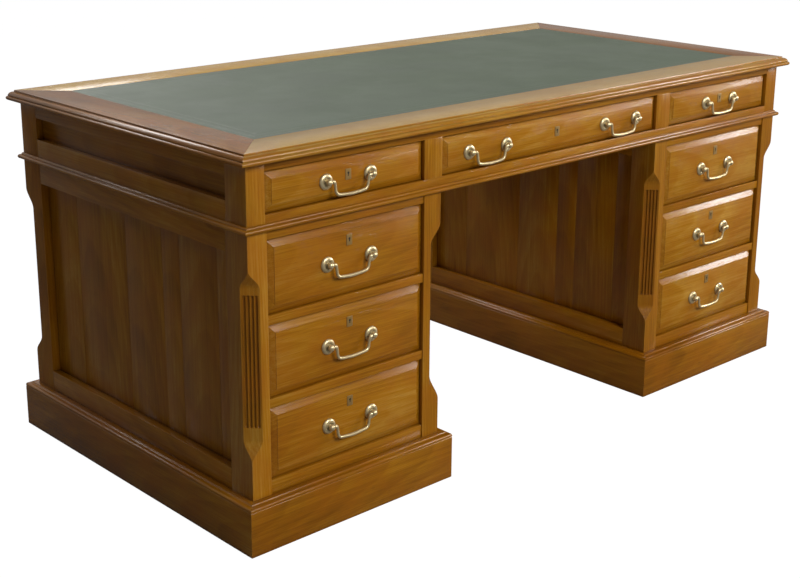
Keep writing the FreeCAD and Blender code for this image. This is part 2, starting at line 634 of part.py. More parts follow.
def drawer(label, opening_width, opening_height, depth, place, handles):
    """One drawer with its fittings and bails, built about the foot of its opening and put in place.

    In its own frame Y runs into the desk from the face of the frame, and Z up from the runner.
    """
    width = f"({opening_width} - 2 * reveal)"
    height = f"({opening_height} - 2 * reveal)"
    front = fielded_board(label + "_front", width, height, "front_thickness", "bevel_width")
    front.setExpression("Placement.Base.y", formula("front_setback + front_thickness"))
    front.setExpression("Placement.Base.z", formula(f"{opening_height} / 2"))
    behind = "front_setback + front_thickness"
    far = f"{behind} + {depth}"
    side_z = ("running_gap", f"{opening_height} - side_drop")
    hollow_x = (f"-{width} / 2 + drawer_side", f"{width} / 2 - drawer_side")
    side_x = (hollow_x[1], f"{width} / 2")
    sides = [board(label + "_left_side", on_side(-1, side_x), (behind, far), side_z),
             board(label + "_right_side", side_x, (behind, far), side_z)]
    base = board(label + "_base", hollow_x, (behind, far), ("base_lift", "base_lift + drawer_base"))
    back = board(label + "_back", hollow_x, (f"{far} - drawer_side", far),
                 ("base_lift + drawer_base", f"{opening_height} - side_drop - drawer_base"))
    sub_part(label, [front] + sides + [base, back], place)

    tall = size("drawer_opening") if opening_height == "drawer_opening" else frieze_opening_height
    axis_height = tall / 2 - size("handle_drop")
    lock_height = tall - size("plate_drop")
    brass = [piece for offset in handles for piece in handle_seat(offset, axis_height)]
    brass += [key_plate(lock_height), lock_case(lock_height)]
    fittings = [made(f"{label}_brass_{number}", piece) for number, piece in enumerate(brass, start=1)]
    sub_part(label + "_fittings", fittings, place)

    for offset in handles:
        hand = "" if len(handles) == 1 else ("_left" if offset < 0 else "_right")
        seat = Vector(offset, size("front_setback") - size("post_reach"), axis_height)
        bail = made(f"{label}{hand}_bail_wire", bail_master.copy())
        sub_part(f"{label}_bail{hand}", [bail], place.multiply(Placement(seat, Rotation())))


frieze_opening_height = (size("desk_height") - size("edge_thickness") - size("frieze_top_rail")
                         - size("frieze_base") - size("frieze_bottom_rail"))
frieze_opening = "(desk_height - edge_thickness - frieze_top_rail - frieze_base - frieze_bottom_rail)"
side_opening = "(carcass_length / 2 - frieze_post_width - divider_width - middle_opening / 2)"
side_centre = (size("carcass_length") / 2 - size("frieze_post_width") + size("divider_width")
               + size("middle_opening") / 2) / 2
pedestal_centre = (size("carcass_length") - size("pedestal_width")) / 2
frieze_seat = size("frieze_base") + size("frieze_bottom_rail")
face = size("carcass_depth") / 2
wide_handles = (-size("wide_handle_offset"), size("wide_handle_offset"))

for side, sign, depth in (("frieze", -1, "drawer_depth"), ("back", 1, "back_drawer_depth")):
    turn = Rotation(Vector(0, 0, 1), 180 if sign > 0 else 0)
    for hand, centre in (("left", -side_centre), ("middle", 0.0), ("right", side_centre)):
        spot = Placement(Vector(centre, sign * face, frieze_seat), turn)
        opening = "middle_opening" if hand == "middle" else side_opening
        handles = wide_handles if hand == "middle" else (0.0,)
        drawer(f"{side}_drawer_{hand}", opening, frieze_opening, depth, spot, handles)

first_seat = size("frieze_base") - size("top_rail") - size("drawer_opening")
for hand, mirror in hands:
    for level, name in enumerate(("top", "middle", "bottom")):
        seat = first_seat - level * (size("drawer_opening") + size("drawer_rail"))
        spot = Placement(Vector(mirror * pedestal_centre, -face, seat), Rotation())
        drawer(f"{hand}_drawer_{name}", "(pedestal_width - 2 * post_width)", "drawer_opening", "drawer_depth",
               spot, (0.0,))

# ---------------------------------------------------------------- cupboard doors


def hinge_leaf(foot, outward, spans):
    """Half of a butt hinge: a thin leaf on one side of the gap, with knuckles over spans of its height."""
    thin, deep = size("leaf_thickness"), size("door_thickness")
    flank = foot.x + outward * (size("reveal") / 2 - thin / 2)
    face = size("carcass_depth") / 2 - size("front_setback")
    leaf = Part.makeBox(thin, deep, size("hinge_length"), Vector(flank - thin / 2, face - deep, foot.z))
    barrel = ring(foot, Vector(1, 0, 0), Vector(0, 1, 0), size("knuckle_radius"), 8)
    for low, high in spans:
        neck = Part.makeBox(thin, foot.y - face, high - low, Vector(flank - thin / 2, face, foot.z + low))
        leaf = leaf.fuse([prism(barrel, Vector(0, 0, high - low)).translated(Vector(0, 0, low)), neck])
    return leaf.removeSplitter()


def door(hand, mirror):
    """Framed door with a fielded panel, hung on two butt hinges at the outer post."""
    door_x = (f"{opening_x[0]} + reveal", f"{opening_x[1]} - reveal")
    door_z = (f"plinth_height + {bottom_rail} + reveal", "frieze_base - top_rail - reveal")
    door_y = ("carcass_depth / 2 - front_setback - door_thickness", "carcass_depth / 2 - front_setback")
    gap = (f"{door_x[0]} + door_stile", f"{door_x[1]} - door_stile")
    gap_z = (f"{door_z[0]} + door_stile", f"{door_z[1]} - door_stile")
    panel = fielded_board(f"{hand}_door_panel", f"({gap[1]} - ({gap[0]}))", f"({gap_z[1]} - ({gap_z[0]}))",
                          "(door_thickness - 2 * door_panel_setback)", "door_bevel")
    panel.Placement.Rotation = Rotation(Vector(0, 0, 1), 180)
    panel.setExpression("Placement.Base.x", formula(f"{mirror} * (({gap[0]}) + ({gap[1]})) / 2"))
    panel.setExpression("Placement.Base.y", formula(f"{door_y[0]} + door_panel_setback"))
    panel.setExpression("Placement.Base.z", formula(f"(({gap_z[0]}) + ({gap_z[1]})) / 2"))
    frame = [
        board(f"{hand}_door_hinge_stile", on_side(mirror, (gap[1], door_x[1])), door_y, door_z),
        board(f"{hand}_door_lock_stile", on_side(mirror, (door_x[0], gap[0])), door_y, door_z),
        board(f"{hand}_door_head_rail", on_side(mirror, gap), door_y, (gap_z[1], door_z[1])),
        board(f"{hand}_door_foot_rail", on_side(mirror, gap), door_y, (door_z[0], gap_z[0])),
    ]
    sub_part(f"{hand}_door", frame + [panel])

    out = size("carcass_depth") / 2
    play = size("joint_play")
    hinge_x = size("carcass_length") / 2 - size("post_width") - size("reveal") / 2
    pin = Vector(mirror * hinge_x, out + size("knuckle_radius") + play, 0)
    long, third = size("hinge_length"), size("hinge_length") / 3
    moving = []
    fixed = []
    for number, height in enumerate((size("lower_hinge"), size("upper_hinge"))):
        foot = pin + Vector(0, 0, height - long / 2)
        moving.append(made(f"{hand}_door_leaf_{number}",
                           hinge_leaf(foot, -mirror, [(third + play, 2 * third - play)])))
        fixed.append(made(f"{hand}_post_leaf_{number}",
                          hinge_leaf(foot, mirror, [(0, third), (2 * third, long)])))

    lock_x = mirror * (size("carcass_length") / 2 - size("pedestal_width") + size("post_width")
                       + size("door_stile") / 2)
    middle = (size("plinth_height") + size("frieze_base")) / 2
    reach = size("knob_reach")
    knob = size("knob_radius")
    turn = Placement(Vector(lock_x, out - size("front_setback"), middle), Rotation(Vector(0, 0, 1), 180))
    # back plate, neck and turned head, as shares of the knob's reach and radius
    shares = ((0, 1), (0.07, 1), (0.12, 0.45), (0.5, 0.4), (0.65, 1), (0.88, 0.92), (1, 0.45))
    knob_rings = [(out_share * reach, share * knob) for out_share, share in shares]
    knob_piece = made(f"{hand}_knob", turned(knob_rings, 10, Vector(0, 0, 0)), turn)
    plate_seat = turn.multiply(Placement(Vector(0, -size("front_setback"), 0), Rotation()))
    plate = made(f"{hand}_door_plate", key_plate(-size("door_plate_drop")), plate_seat)
    sub_part(f"{hand}_door_fittings", moving + [knob_piece, plate])
    return fixed


sub_part("door_hinge_leaves", [leaf for hand in hands for leaf in door(*hand)])

# ---------------------------------------------------------------- build, check and write

doc.recompute()
faults = [item.Label for item in doc.Objects if {"Invalid", "Error"} & set(item.State)]
for part in sub_parts:
    if part.Shape.isNull() or not part.Shape.isValid() or not part.Shape.Solids:
        faults.append(part.Label + " shape")
if faults:
    raise RuntimeError("faulty: " + ", ".join(faults))

os.makedirs("parts", exist_ok=True)
for part in sub_parts:
    part.Shape.exportStep(os.path.join("parts", part.Label + ".step"))
print(len(sub_parts), "sub-parts,", sum(len(part.Shape.Solids) for part in sub_parts), "solids")
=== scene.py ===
import json
import math
import zlib

import bmesh
import bpy
import numpy as np
from mathutils import Matrix, Vector


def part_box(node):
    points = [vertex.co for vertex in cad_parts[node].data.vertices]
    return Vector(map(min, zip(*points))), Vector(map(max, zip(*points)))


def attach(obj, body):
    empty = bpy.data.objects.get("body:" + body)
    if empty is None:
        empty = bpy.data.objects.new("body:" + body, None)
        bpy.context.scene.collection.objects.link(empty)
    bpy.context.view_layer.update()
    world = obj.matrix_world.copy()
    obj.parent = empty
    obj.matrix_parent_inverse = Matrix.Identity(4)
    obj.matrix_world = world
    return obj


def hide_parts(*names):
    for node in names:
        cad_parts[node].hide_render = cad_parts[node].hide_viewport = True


print("desk: loading the frame")
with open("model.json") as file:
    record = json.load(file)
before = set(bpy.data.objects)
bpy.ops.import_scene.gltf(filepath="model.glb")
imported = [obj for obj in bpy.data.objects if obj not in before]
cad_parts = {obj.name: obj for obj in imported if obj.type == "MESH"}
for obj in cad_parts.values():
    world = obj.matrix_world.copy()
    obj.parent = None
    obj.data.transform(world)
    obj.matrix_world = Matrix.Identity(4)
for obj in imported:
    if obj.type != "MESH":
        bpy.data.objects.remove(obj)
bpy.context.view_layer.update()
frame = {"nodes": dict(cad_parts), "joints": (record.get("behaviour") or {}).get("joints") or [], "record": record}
nodes = frame["nodes"]
bodies = frame["record"]["behaviour"]["bodies"]
bodyOf = {node: body for body, members in bodies.items() for node in members}
hinges = {joint["child"]: joint for joint in frame["joints"] if joint["type"] == "hinge"}
mm = 0.001

# ---- small helpers for shader nodes


def addNode(tree, kind, **settings):
    node = tree.nodes.new("ShaderNode" + kind)
    for name, value in settings.items():
        setattr(node, name, value)
    return node


def feed(tree, socket, value):  # a link, or a plain number or colour
    if isinstance(value, bpy.types.NodeSocket):
        tree.links.new(value, socket)
    else:
        socket.default_value = value


def feedAll(tree, node, *values):  # in the order of its sockets
    for socket, value in zip(node.inputs, values):
        feed(tree, socket, value)
    return node.outputs


def feedNamed(tree, node, values):
    for label, value in values.items():
        feed(tree, node.inputs[label], value)
    return node.outputs


def calc(tree, operation, *values):
    return feedAll(tree, addNode(tree, "Math", operation=operation), *values)[0]


def vectorCalc(tree, operation, *values):
    outputs = feedAll(tree, addNode(tree, "VectorMath", operation=operation), *values)
    return outputs["Value" if operation == "DOT_PRODUCT" else "Vector"]


def scaled(tree, vector, factor):
    node = addNode(tree, "VectorMath", operation="SCALE")
    feed(tree, node.inputs["Scale"], factor)
    return feedAll(tree, node, vector)["Vector"]


def split(tree, vector):
    return feedAll(tree, addNode(tree, "SeparateXYZ"), vector)


def spread(tree, value, low, high, start=0.0, end=1.0):
    # From low to high it is drawn out smoothly to start..end, and held at both ends.
    node = addNode(tree, "MapRange", clamp=True, interpolation_type="SMOOTHSTEP")
    return feedAll(tree, node, value, low, high, start, end)["Result"]


def noise(tree, place, scales, detail, roughness, output="Fac"):
    # Stretched by its three scales, in cycles a unit.
    stretched = vectorCalc(tree, "MULTIPLY", place, scales)
    values = {"Vector": stretched, "Scale": 1.0, "Detail": detail, "Roughness": roughness}
    return feedNamed(tree, addNode(tree, "TexNoise"), values)[output]


def mixColour(tree, share, first, second):
    node = addNode(tree, "Mix", data_type="RGBA")
    for index, value in ((0, share), (6, first), (7, second)):  # 6 and 7 are its colours
        feed(tree, node.inputs[index], value)
    return node.outputs[2]


def layered(tree, below, mask, share, colour):  # one more colour where the mask is
    return mixColour(tree, calc(tree, "MULTIPLY", mask, share), below, (*colour, 1))


def ramp(tree, value, stops):
    node = addNode(tree, "ValToRGB")
    marks = node.color_ramp.elements
    while len(marks) < len(stops):
        marks.new(0.5)
    for mark, (place, colour) in zip(marks, stops):
        mark.position = place
        mark.color = (*colour, 1.0)
    feed(tree, node.inputs[0], value)
    return node.outputs["Color"]


def startGroup(name, inputs, outputs):  # places are vectors, and all else is plain numbers
    group = bpy.data.node_groups.new(name, "ShaderNodeTree")
    for way, labels in (("INPUT", inputs), ("OUTPUT", outputs)):
        for label in labels:
            kind = "NodeSocketVector" if label == "Place" else "NodeSocketFloat"
            group.interface.new_socket(label, in_out=way, socket_type=kind)
    return group, group.nodes.new("NodeGroupInput").outputs, group.nodes.new("NodeGroupOutput").inputs


def placeGroup(tree, group, **values):
    return feedNamed(tree, addNode(tree, "Group", node_tree=group), values)


def source(tree, kind, output, **settings):
    return addNode(tree, kind, **settings).outputs[output]


# ---- shared effects

figureSet = {
    # each noise: cycles a metre along the board, across it and through it, then detail and roughness
    "slow": ((2.4, 14.0, 14.0), 3.0, 0.5),
    "streaks": ((1.3, 130.0, 130.0), 4.0, 0.65),
    "fibres": ((7.0, 520.0, 520.0), 3.0, 0.6),
    "cloud": ((3.5, 9.0, 9.0), 2.0, 0.5),
    "dashes": ((45.0, 1500.0, 1500.0), 1.0, 0.4),
    # the stretch of it that counts, and how much that lightens the tone
    "tones": {"fibres": (0.3, 0.7, 0.2), "streaks": (0.25, 0.75, 0.2), "cloud": (0.25, 0.75, 0.32)},
    "plainTone": 0.06, "boardTone": 0.3, "lateTone": -0.12,
    "warp": 0.006,  # metres that the slow noise moves the rings
    "lean": 0.05,  # of the pith line across the board
    "late": ((0.1, 0.85), (1.0, 0.88)),  # how late wood comes and goes through one ring
    "poreDashes": (0.60, 0.72), "poreRings": (0.9, 0.1, 0.3, 1.0),  # pores are densest where a ring begins
    "fibreHeight": 0.35,
}
edgeRecessSet = {"edge": (0.995, 0.86), "edgeSamples": 4, "corner": (0.85, 0.25), "cornerSamples": 6}
# cycles in the size that is given, detail, and the stretch that counts
touchSet = {"Patches": (1.0, 4.0, 0.3, 0.7), "Specks": (14.0, 2.0, 0.62, 0.75)}
touchRoughness = 0.55


def makeWoodFigure(figure):
    # Growth rings are the distance from a pith line that leans a little, warped by slow noise. All else is
    # noise drawn out along the grain. The tone adds up what each of them gives.
    tree, given, out = startGroup("woodFigure", ("Place", "Board", "Ring"), ("Tone", "Pores", "Height"))
    place = given["Place"]
    waver = vectorCalc(tree, "SUBTRACT", noise(tree, place, *figure["slow"], "Color"), (0.5, 0.5, 0.5))
    warped = vectorCalc(tree, "ADD", place, scaled(tree, waver, figure["warp"]))
    along = split(tree, warped)
    through = calc(tree, "ADD", along["Z"], calc(tree, "MULTIPLY", along["X"], figure["lean"]))
    squares = [calc(tree, "POWER", side, 2.0) for side in (along["Y"], through)]
    radius = calc(tree, "SQRT", calc(tree, "ADD", *squares))
    rings = calc(tree, "FRACT", calc(tree, "DIVIDE", radius, given["Ring"]))
    late = [spread(tree, rings, *edge) for edge in figure["late"]]
    tone = calc(tree, "MULTIPLY_ADD", given["Board"], figure["boardTone"], figure["plainTone"])
    tone = calc(tree, "MULTIPLY_ADD", calc(tree, "MULTIPLY", *late), figure["lateTone"], tone)
    waves = {kind: noise(tree, warped, *figure[kind]) for kind in figure["tones"]}
    for kind, (low, high, weight) in figure["tones"].items():
        tone = calc(tree, "MULTIPLY_ADD", spread(tree, waves[kind], low, high), weight, tone)
    dashes = noise(tree, place, *figure["dashes"])
    pores = calc(tree, "MULTIPLY", spread(tree, dashes, *figure["poreDashes"]),
                 spread(tree, rings, *figure["poreRings"]))
    raised = calc(tree, "MULTIPLY", waves["fibres"], figure["fibreHeight"])
    feed(tree, out["Tone"], tone)
    feed(tree, out["Pores"], pores)
    feed(tree, out["Height"], calc(tree, "SUBTRACT", raised, pores))
    return tree


def makeEdgeAndRecess(edgeRecess):
    # Edges show where a rounded normal leaves the true one, and corners where little sky is seen. Both
    # sizes are in metres.
    tree, given, out = startGroup("edgeAndRecess", ("Width", "Reach"), ("Edges", "Recess"))
    bevel = addNode(tree, "Bevel", samples=edgeRecess["edgeSamples"])
    rounded = feedNamed(tree, bevel, {"Radius": given["Width"]})["Normal"]
    turn = vectorCalc(tree, "DOT_PRODUCT", rounded, source(tree, "NewGeometry", "Normal"))
    feed(tree, out["Edges"], spread(tree, turn, *edgeRecess["edge"]))
    around = addNode(tree, "AmbientOcclusion", samples=edgeRecess["cornerSamples"])
    sky = feedNamed(tree, around, {"Distance": given["Reach"]})["AO"]
    feed(tree, out["Recess"], spread(tree, sky, *edgeRecess["corner"]))
    return tree


def makeHandling(touch):
    # Patches where the finish has been touched, cleaned or left, and small specks.
    tree, given, out = startGroup("handling", ("Place", "Size"), ("Patches", "Specks"))
    shrunk = scaled(tree, given["Place"], calc(tree, "DIVIDE", 1.0, given["Size"]))
    for label, (cycles, detail, low, high) in touch.items():
        value = noise(tree, shrunk, (cycles,) * 3, detail, touchRoughness)
        feed(tree, out[label], spread(tree, value, low, high))
    return tree


woodFigure = makeWoodFigure(figureSet)
edgeAndRecess = makeEdgeAndRecess(edgeRecessSet)
handling = makeHandling(touchSet)

# ---- materials

woodSet = {
    "show": {
        # from dark to light
        "stops": [(0.0, (0.130, 0.042, 0.002)), (0.32, (0.230, 0.084, 0.003)),
                  (0.6, (0.330, 0.136, 0.005)), (1.0, (0.455, 0.243, 0.036))],
        # what is laid over it: a share and a colour
        "warm": (0.5, (0.310, 0.094, 0.002)),
        # painted sheen on boards that look up
        "paintedSheen": (0.75, (0.64, 0.39, 0.07)),
        "pore": (0.4, (0.085, 0.030, 0.003)),
        "worn": (0.25, (0.42, 0.22, 0.05)),
        # painted shade: darker where little sky is seen, in corners and recesses
        "recessShade": (0.5, (0.110, 0.034, 0.002)),
        "ring": 0.0065,  # metres
        "rough": (0.20, 0.26), "bump": 0.35,
        "fixed": {"Specular IOR Level": 0.25, "Coat Weight": 0.05, "Coat Roughness": 0.1},
    },
    "inner": {
        "stops": [(0.0, (0.23, 0.135, 0.060)), (0.35, (0.36, 0.225, 0.105)),
                  (0.7, (0.47, 0.31, 0.155)), (1.0, (0.56, 0.39, 0.21))],
        "warm": (0.2, (0.42, 0.24, 0.10)),
        # painted sheen on boards that look up
        "paintedSheen": (0.2, (0.60, 0.44, 0.25)),
        "pore": (0.55, (0.16, 0.09, 0.04)),
        "worn": (0.15, (0.50, 0.35, 0.19)),
        # painted shade: darker where little sky is seen, in corners and recesses
        "recessShade": (0.6, (0.10, 0.055, 0.025)),
        "ring": 0.006,
        "rough": (0.55, 0.72), "bump": 0.35,
        "fixed": {"Specular IOR Level": 0.4, "Coat Weight": 0.0, "Coat Roughness": 0.1},
    },
}
# painted sheen on tops: upward part of the normal, tone of the board, and what is left in a patch
sheenSet = {"upward": (0.9, 0.99), "board": (0.75, 1.15), "patch": 0.7}
brassSet = {
    "handle": {"bright": (0.78, 0.64, 0.37), "dull": (0.50, 0.38, 0.19), "tarnish": (0.040, 0.025, 0.010),
               "rough": (0.28, 0.42), "metal": (0.7, 0.45)},
    "plate": {"bright": (0.36, 0.22, 0.07), "dull": (0.24, 0.14, 0.04), "tarnish": (0.030, 0.018, 0.007),
              "rough": (0.30, 0.50), "metal": (0.5, 0.3)},
}
patinaSet = (("Patches", 0.6, "dull"), ("Specks", 0.35, "tarnish"), ("Recess", 0.6, "tarnish"),
             ("Edges", 0.5, "bright"))  # what lies over both brasses: mask, share and colour
leatherSet = {
    "stops": [(0.0, (0.088, 0.111, 0.070)), (0.5, (0.098, 0.124, 0.078)), (1.0, (0.109, 0.137, 0.088))],
    "cloud": ((7.0, 7.0, 7.0), 4.0, 0.6), "cloudSpan": (0.25, 0.75),
    "tooled": (0.55, (0.19, 0.20, 0.145)),
    "grain": 0.0011,  # metres
    "crease": (0.35, 0.75, 0.0, 0.35), "creaseTone": (0.03, 0.04, 0.025),
    "rough": (0.50, 0.57), "bump": 0.25, "fixed": {"Specular IOR Level": 0.35},
}
# painted shade: the keyhole's floor is near black, standing in for the dark inside the hole
holeSet = {"tones": ((0.006, 0.004, 0.003, 1), (0.016, 0.011, 0.007, 1)), "rough": 0.8}
bumpDepth = 0.0003  # metres


def startMaterial(name):
    material = bpy.data.materials.new(name)
    material.use_nodes = True
    tree = material.node_tree
    return material, tree, tree.nodes["Principled BSDF"]


def dress(tree, shader, look, colour, patches):
    rough = spread(tree, patches, 0.0, 1.0, *look["rough"])
    feedNamed(tree, shader, {"Base Color": colour, "Roughness": rough, **look.get("fixed", {})})


def addBump(tree, shader, look, height):
    values = {"Strength": look["bump"], "Distance": bumpDepth, "Height": height}
    feed(tree, shader.inputs["Normal"], feedNamed(tree, addNode(tree, "Bump"), values)["Normal"])


def makeWood(name, look):
    material, tree, shader = startMaterial(name)
    place = source(tree, "Attribute", "Vector", attribute_name="grainPlace")
    board = source(tree, "Attribute", "Fac", attribute_name="boardTone")
    figure = placeGroup(tree, woodFigure, Place=place, Board=board, Ring=look["ring"])
    edgeRecess = placeGroup(tree, edgeAndRecess, Width=0.002, Reach=0.011)
    touch = placeGroup(tree, handling, Place=place, Size=0.08)
    patches = touch["Patches"]
    colour = ramp(tree, figure["Tone"], look["stops"])
    colour = layered(tree, colour, patches, *look["warm"])
    # Painted sheen: boards that look up are painted paler where their tone is light, standing in for the light and
    # reflection they catch.
    upward = split(tree, source(tree, "NewGeometry", "Normal"))["Z"]
    share, sheenTone = look["paintedSheen"]
    paintedSheen = calc(tree, "MULTIPLY", spread(tree, upward, *sheenSet["upward"]),
                 spread(tree, board, *sheenSet["board"], 0.0, share))
    paintedSheen = calc(tree, "MULTIPLY", paintedSheen, spread(tree, patches, 0.0, 1.0, 1.0, sheenSet["patch"]))
    colour = mixColour(tree, paintedSheen, colour, (*sheenTone, 1))
    # Pores and worn edges, then painted shade in corners and recesses where little sky is seen.
    for mask, kind in ((figure["Pores"], "pore"), (edgeRecess["Edges"], "worn"), (edgeRecess["Recess"], "recessShade")):
        colour = layered(tree, colour, mask, *look[kind])
    dress(tree, shader, look, colour, patches)
    addBump(tree, shader, look, figure["Height"])
    return material


def makeBrass(name, look):
    material, tree, shader = startMaterial(name)
    edgeRecess = placeGroup(tree, edgeAndRecess, Width=0.0012, Reach=0.008)
    touch = placeGroup(tree, handling, Place=source(tree, "TexCoord", "Object"), Size=0.012)
    colour = (*look["bright"], 1)
    masks = {mask.name: mask for mask in (*edgeRecess, *touch)}
    for mask, share, tone in patinaSet:
        colour = layered(tree, colour, masks[mask], share, look[tone])
    dress(tree, shader, look, colour, touch["Patches"])
    feed(tree, shader.inputs["Metallic"], spread(tree, edgeRecess["Recess"], 0.0, 1.0, *look["metal"]))
    return material


def makeLeather(name, look):
    material, tree, shader = startMaterial(name)
    place = source(tree, "TexCoord", "Object")
    touch = placeGroup(tree, handling, Place=place, Size=0.16)
    cloud = noise(tree, place, *look["cloud"])
    colour = ramp(tree, spread(tree, cloud, *look["cloudSpan"]), look["stops"])
    tooling = source(tree, "Attribute", "Fac", attribute_name="tooling")
    colour = layered(tree, colour, tooling, *look["tooled"])
    pebbles = addNode(tree, "TexVoronoi", feature="SMOOTH_F1")
    cells = feedNamed(tree, pebbles, {"Vector": place, "Scale": 1 / look["grain"]})
    creases = spread(tree, cells["Distance"], *look["crease"])
    colour = mixColour(tree, creases, colour, (*look["creaseTone"], 1))
    dress(tree, shader, look, colour, touch["Patches"])
    addBump(tree, shader, look, calc(tree, "SUBTRACT", 1.0, cells["Distance"]))
    return material


def makeDark(name, look):
    material, tree, shader = startMaterial(name)
    touch = placeGroup(tree, handling, Place=source(tree, "TexCoord", "Object"), Size=0.004)
    colour = mixColour(tree, touch["Patches"], *look["tones"])
    feedNamed(tree, shader, {"Base Color": colour, "Roughness": look["rough"]})
    return material


showWood = makeWood("polishedWood", woodSet["show"])
innerWood = makeWood("innerWood", woodSet["inner"])
agedBrass = makeBrass("agedBrass", brassSet["handle"])
dullBrass = makeBrass("dullBrass", brassSet["plate"])
greenLeather = makeLeather("greenLeather", leatherSet)
keyholeShade = makeDark("paintedKeyholeShade", holeSet)

# ---- camera, light and floor

cameraSet = {
    "place": (-2.2439, -2.3371, 1.3092),  # metres
    "heading": -42.748, "tilt": 73.946, "roll": 0.367,  # degrees; no tilt is straight down
    "lens": 64.05, "sensor": 36,  # millimetres
    "shiftUp": -0.07, "far": 60,
}
lightSet = {
    "ambient": 0.06,  # what falls on the desk from all round
    "mirror": (0.4, 0.6), "mirrorRise": (-0.02, 0.4),  # what a reflection finds low down and higher up
    "mirrorFront": 0.5, "mirrorTurn": (-0.2, 0.3),  # share of it in front, which grows to all behind
}
softboxSet = {  # place, aim, size and power
    "front": ((0.0, -4.7, 3.3), (0.0, -0.3, 0.5), (3.0, 1.6), 196),
    "right": ((4.6, -2.7, 1.65), (0.0, -0.3, 0.45), (1.7, 1.3), 145),
    "back": ((0.1, 3.0, 3.3), (0.0, 0.0, 0.7), (2.4, 1.2), 80),
    "left": ((-1.84, 2.9, 2.48), (-0.8, 0.0, 0.6), (0.5, 1.3), 13),
}
floorSet = {
    "half": 14.0, "tone": 0.42, "rough": 0.9,
    "white": 1.13, "whiteShare": 0.88,  # its glow for the eye, and the share of that
    "mirror": 0.07, "mirrorShare": 0.85,  # for reflections
}
plainWhite = (1.0, 1.0, 1.0, 1.0)


def addObject(name, data):
    made = bpy.data.objects.new(name, data)
    bpy.context.scene.collection.objects.link(made)
    return made


def makeCamera(setup):
    data = bpy.data.cameras.new("camera")
    data.lens = setup["lens"]
    data.sensor_width = setup["sensor"]
    data.shift_y = setup["shiftUp"]
    data.clip_end = setup["far"]
    camera = addObject("camera", data)
    camera.matrix_world = Matrix.Translation(setup["place"])
    for part, axis in (("heading", "Z"), ("tilt", "X"), ("roll", "Z")):
        camera.matrix_world = camera.matrix_world @ Matrix.Rotation(math.radians(setup[part]), 4, axis)
    bpy.context.scene.camera = camera


def makeWorld(light):
    # White for the eye. Reflections find a room that is dim near the floor and bright higher up, and a plain
    # low level from all round falls on the desk.
    world = bpy.data.worlds.new("studio")
    bpy.context.scene.world = world
    world.use_nodes = True
    tree = world.node_tree
    path = addNode(tree, "LightPath").outputs
    way = split(tree, source(tree, "TexCoord", "Generated"))
    mirror = spread(tree, way["Z"], *light["mirrorRise"], *light["mirror"])
    behind = spread(tree, way["Y"], *light["mirrorTurn"], light["mirrorFront"], 1.0)
    extra = calc(tree, "SUBTRACT", calc(tree, "MULTIPLY", mirror, behind), light["ambient"])
    level = calc(tree, "MULTIPLY_ADD", path["Is Glossy Ray"], extra, light["ambient"])
    seen = calc(tree, "MAXIMUM", path["Is Camera Ray"], path["Is Transmission Ray"])
    values = {"Color": plainWhite, "Strength": calc(tree, "MAXIMUM", seen, level)}
    feedNamed(tree, tree.nodes["Background"], values)


def makeFloor(setup):
    # A matt floor that the light falls on, mixed with a plain glow that keeps it white for the eye.
    half = setup["half"]
    corners = [(-half, -half, 0), (half, -half, 0), (half, half, 0), (-half, half, 0)]
    mesh = bpy.data.meshes.new("floor")
    mesh.from_pydata(corners, [], [(0, 1, 2, 3)])
    floor = addObject("floor", mesh)
    material, tree, shader = startMaterial("paleFloor")
    feedNamed(tree, shader, {"Base Color": (setup["tone"],) * 3 + (1.0,), "Roughness": setup["rough"]})
    path = addNode(tree, "LightPath").outputs
    glossy = path["Is Glossy Ray"]
    strength = spread(tree, glossy, 0.0, 1.0, setup["white"], setup["mirror"])
    glow = feedNamed(tree, addNode(tree, "Emission"), {"Color": plainWhite, "Strength": strength})
    share = calc(tree, "MULTIPLY", glossy, setup["mirrorShare"])
    for seen in ("Is Camera Ray", "Is Transmission Ray"):
        share = calc(tree, "MULTIPLY_ADD", path[seen], setup["whiteShare"], share)
    blend = feedAll(tree, addNode(tree, "MixShader"), share, shader.outputs[0], glow[0])
    feed(tree, tree.nodes["Material Output"].inputs["Surface"], blend[0])
    mesh.materials.append(material)


def makeSoftbox(name, place, aim, size, power):
    data = bpy.data.lights.new(name, "AREA")
    data.shape = "RECTANGLE"
    data.size, data.size_y = size
    data.energy = power
    lamp = addObject(name, data)
    lamp.location = place
    lamp.visible_camera = False
    lamp.rotation_mode = "QUATERNION"
    lamp.rotation_quaternion = (Vector(aim) - Vector(place)).to_track_quat("-Z", "Y")


print("desk: camera, floor and light")
makeCamera(cameraSet)
makeWorld(lightSet)
makeFloor(floorSet)
for side, setup in softboxSet.items():
    makeSoftbox(side + "Softbox", *setup)
bpy.context.scene.view_settings.view_transform = "Standard"

# ---- surfaces as arrays


def gridSurface(points):
    # A closed tube of rings: points[i, j] is corner j of ring i, and each ring closes on itself.
    rings, sides = points.shape[:2]
    corner = np.arange(rings * sides).reshape(rings, sides)
    after = np.roll(corner, -1, axis=1)
    quads = np.stack([corner[:-1], after[:-1], after[1:], corner[1:]], axis=-1).reshape(-1, 4).tolist()
    return points.reshape(-1, 3), quads + [corner[0, ::-1].tolist(), corner[-1].tolist()]


def joined(surfaces):
    verts, faces, start = [], [], 0
    for points, quads in surfaces:
        verts.append(points)
        faces += [[corner + start for corner in face] for face in quads]
        start += len(points)
    return np.concatenate(verts), faces


def smoothLine(points, count):
    # A curve through all the points, in cubics whose slope at a point joins its two neighbours.
    points = np.array(points, float)
    padded = np.concatenate([[2 * points[0] - points[1]], points, [2 * points[-1] - points[-2]]])
    spot = np.linspace(0, len(points) - 1, count)
    step = np.minimum(spot.astype(int), len(points) - 2)
    t = (spot - step)[:, None]
    a, b, c, d = (padded[step + k] for k in range(4))
    return 0.5 * (2 * b + (c - a) * t + (2 * a - 5 * b + 4 * c - d) * t ** 2
                  + (3 * b - a - 3 * c + d) * t ** 3)


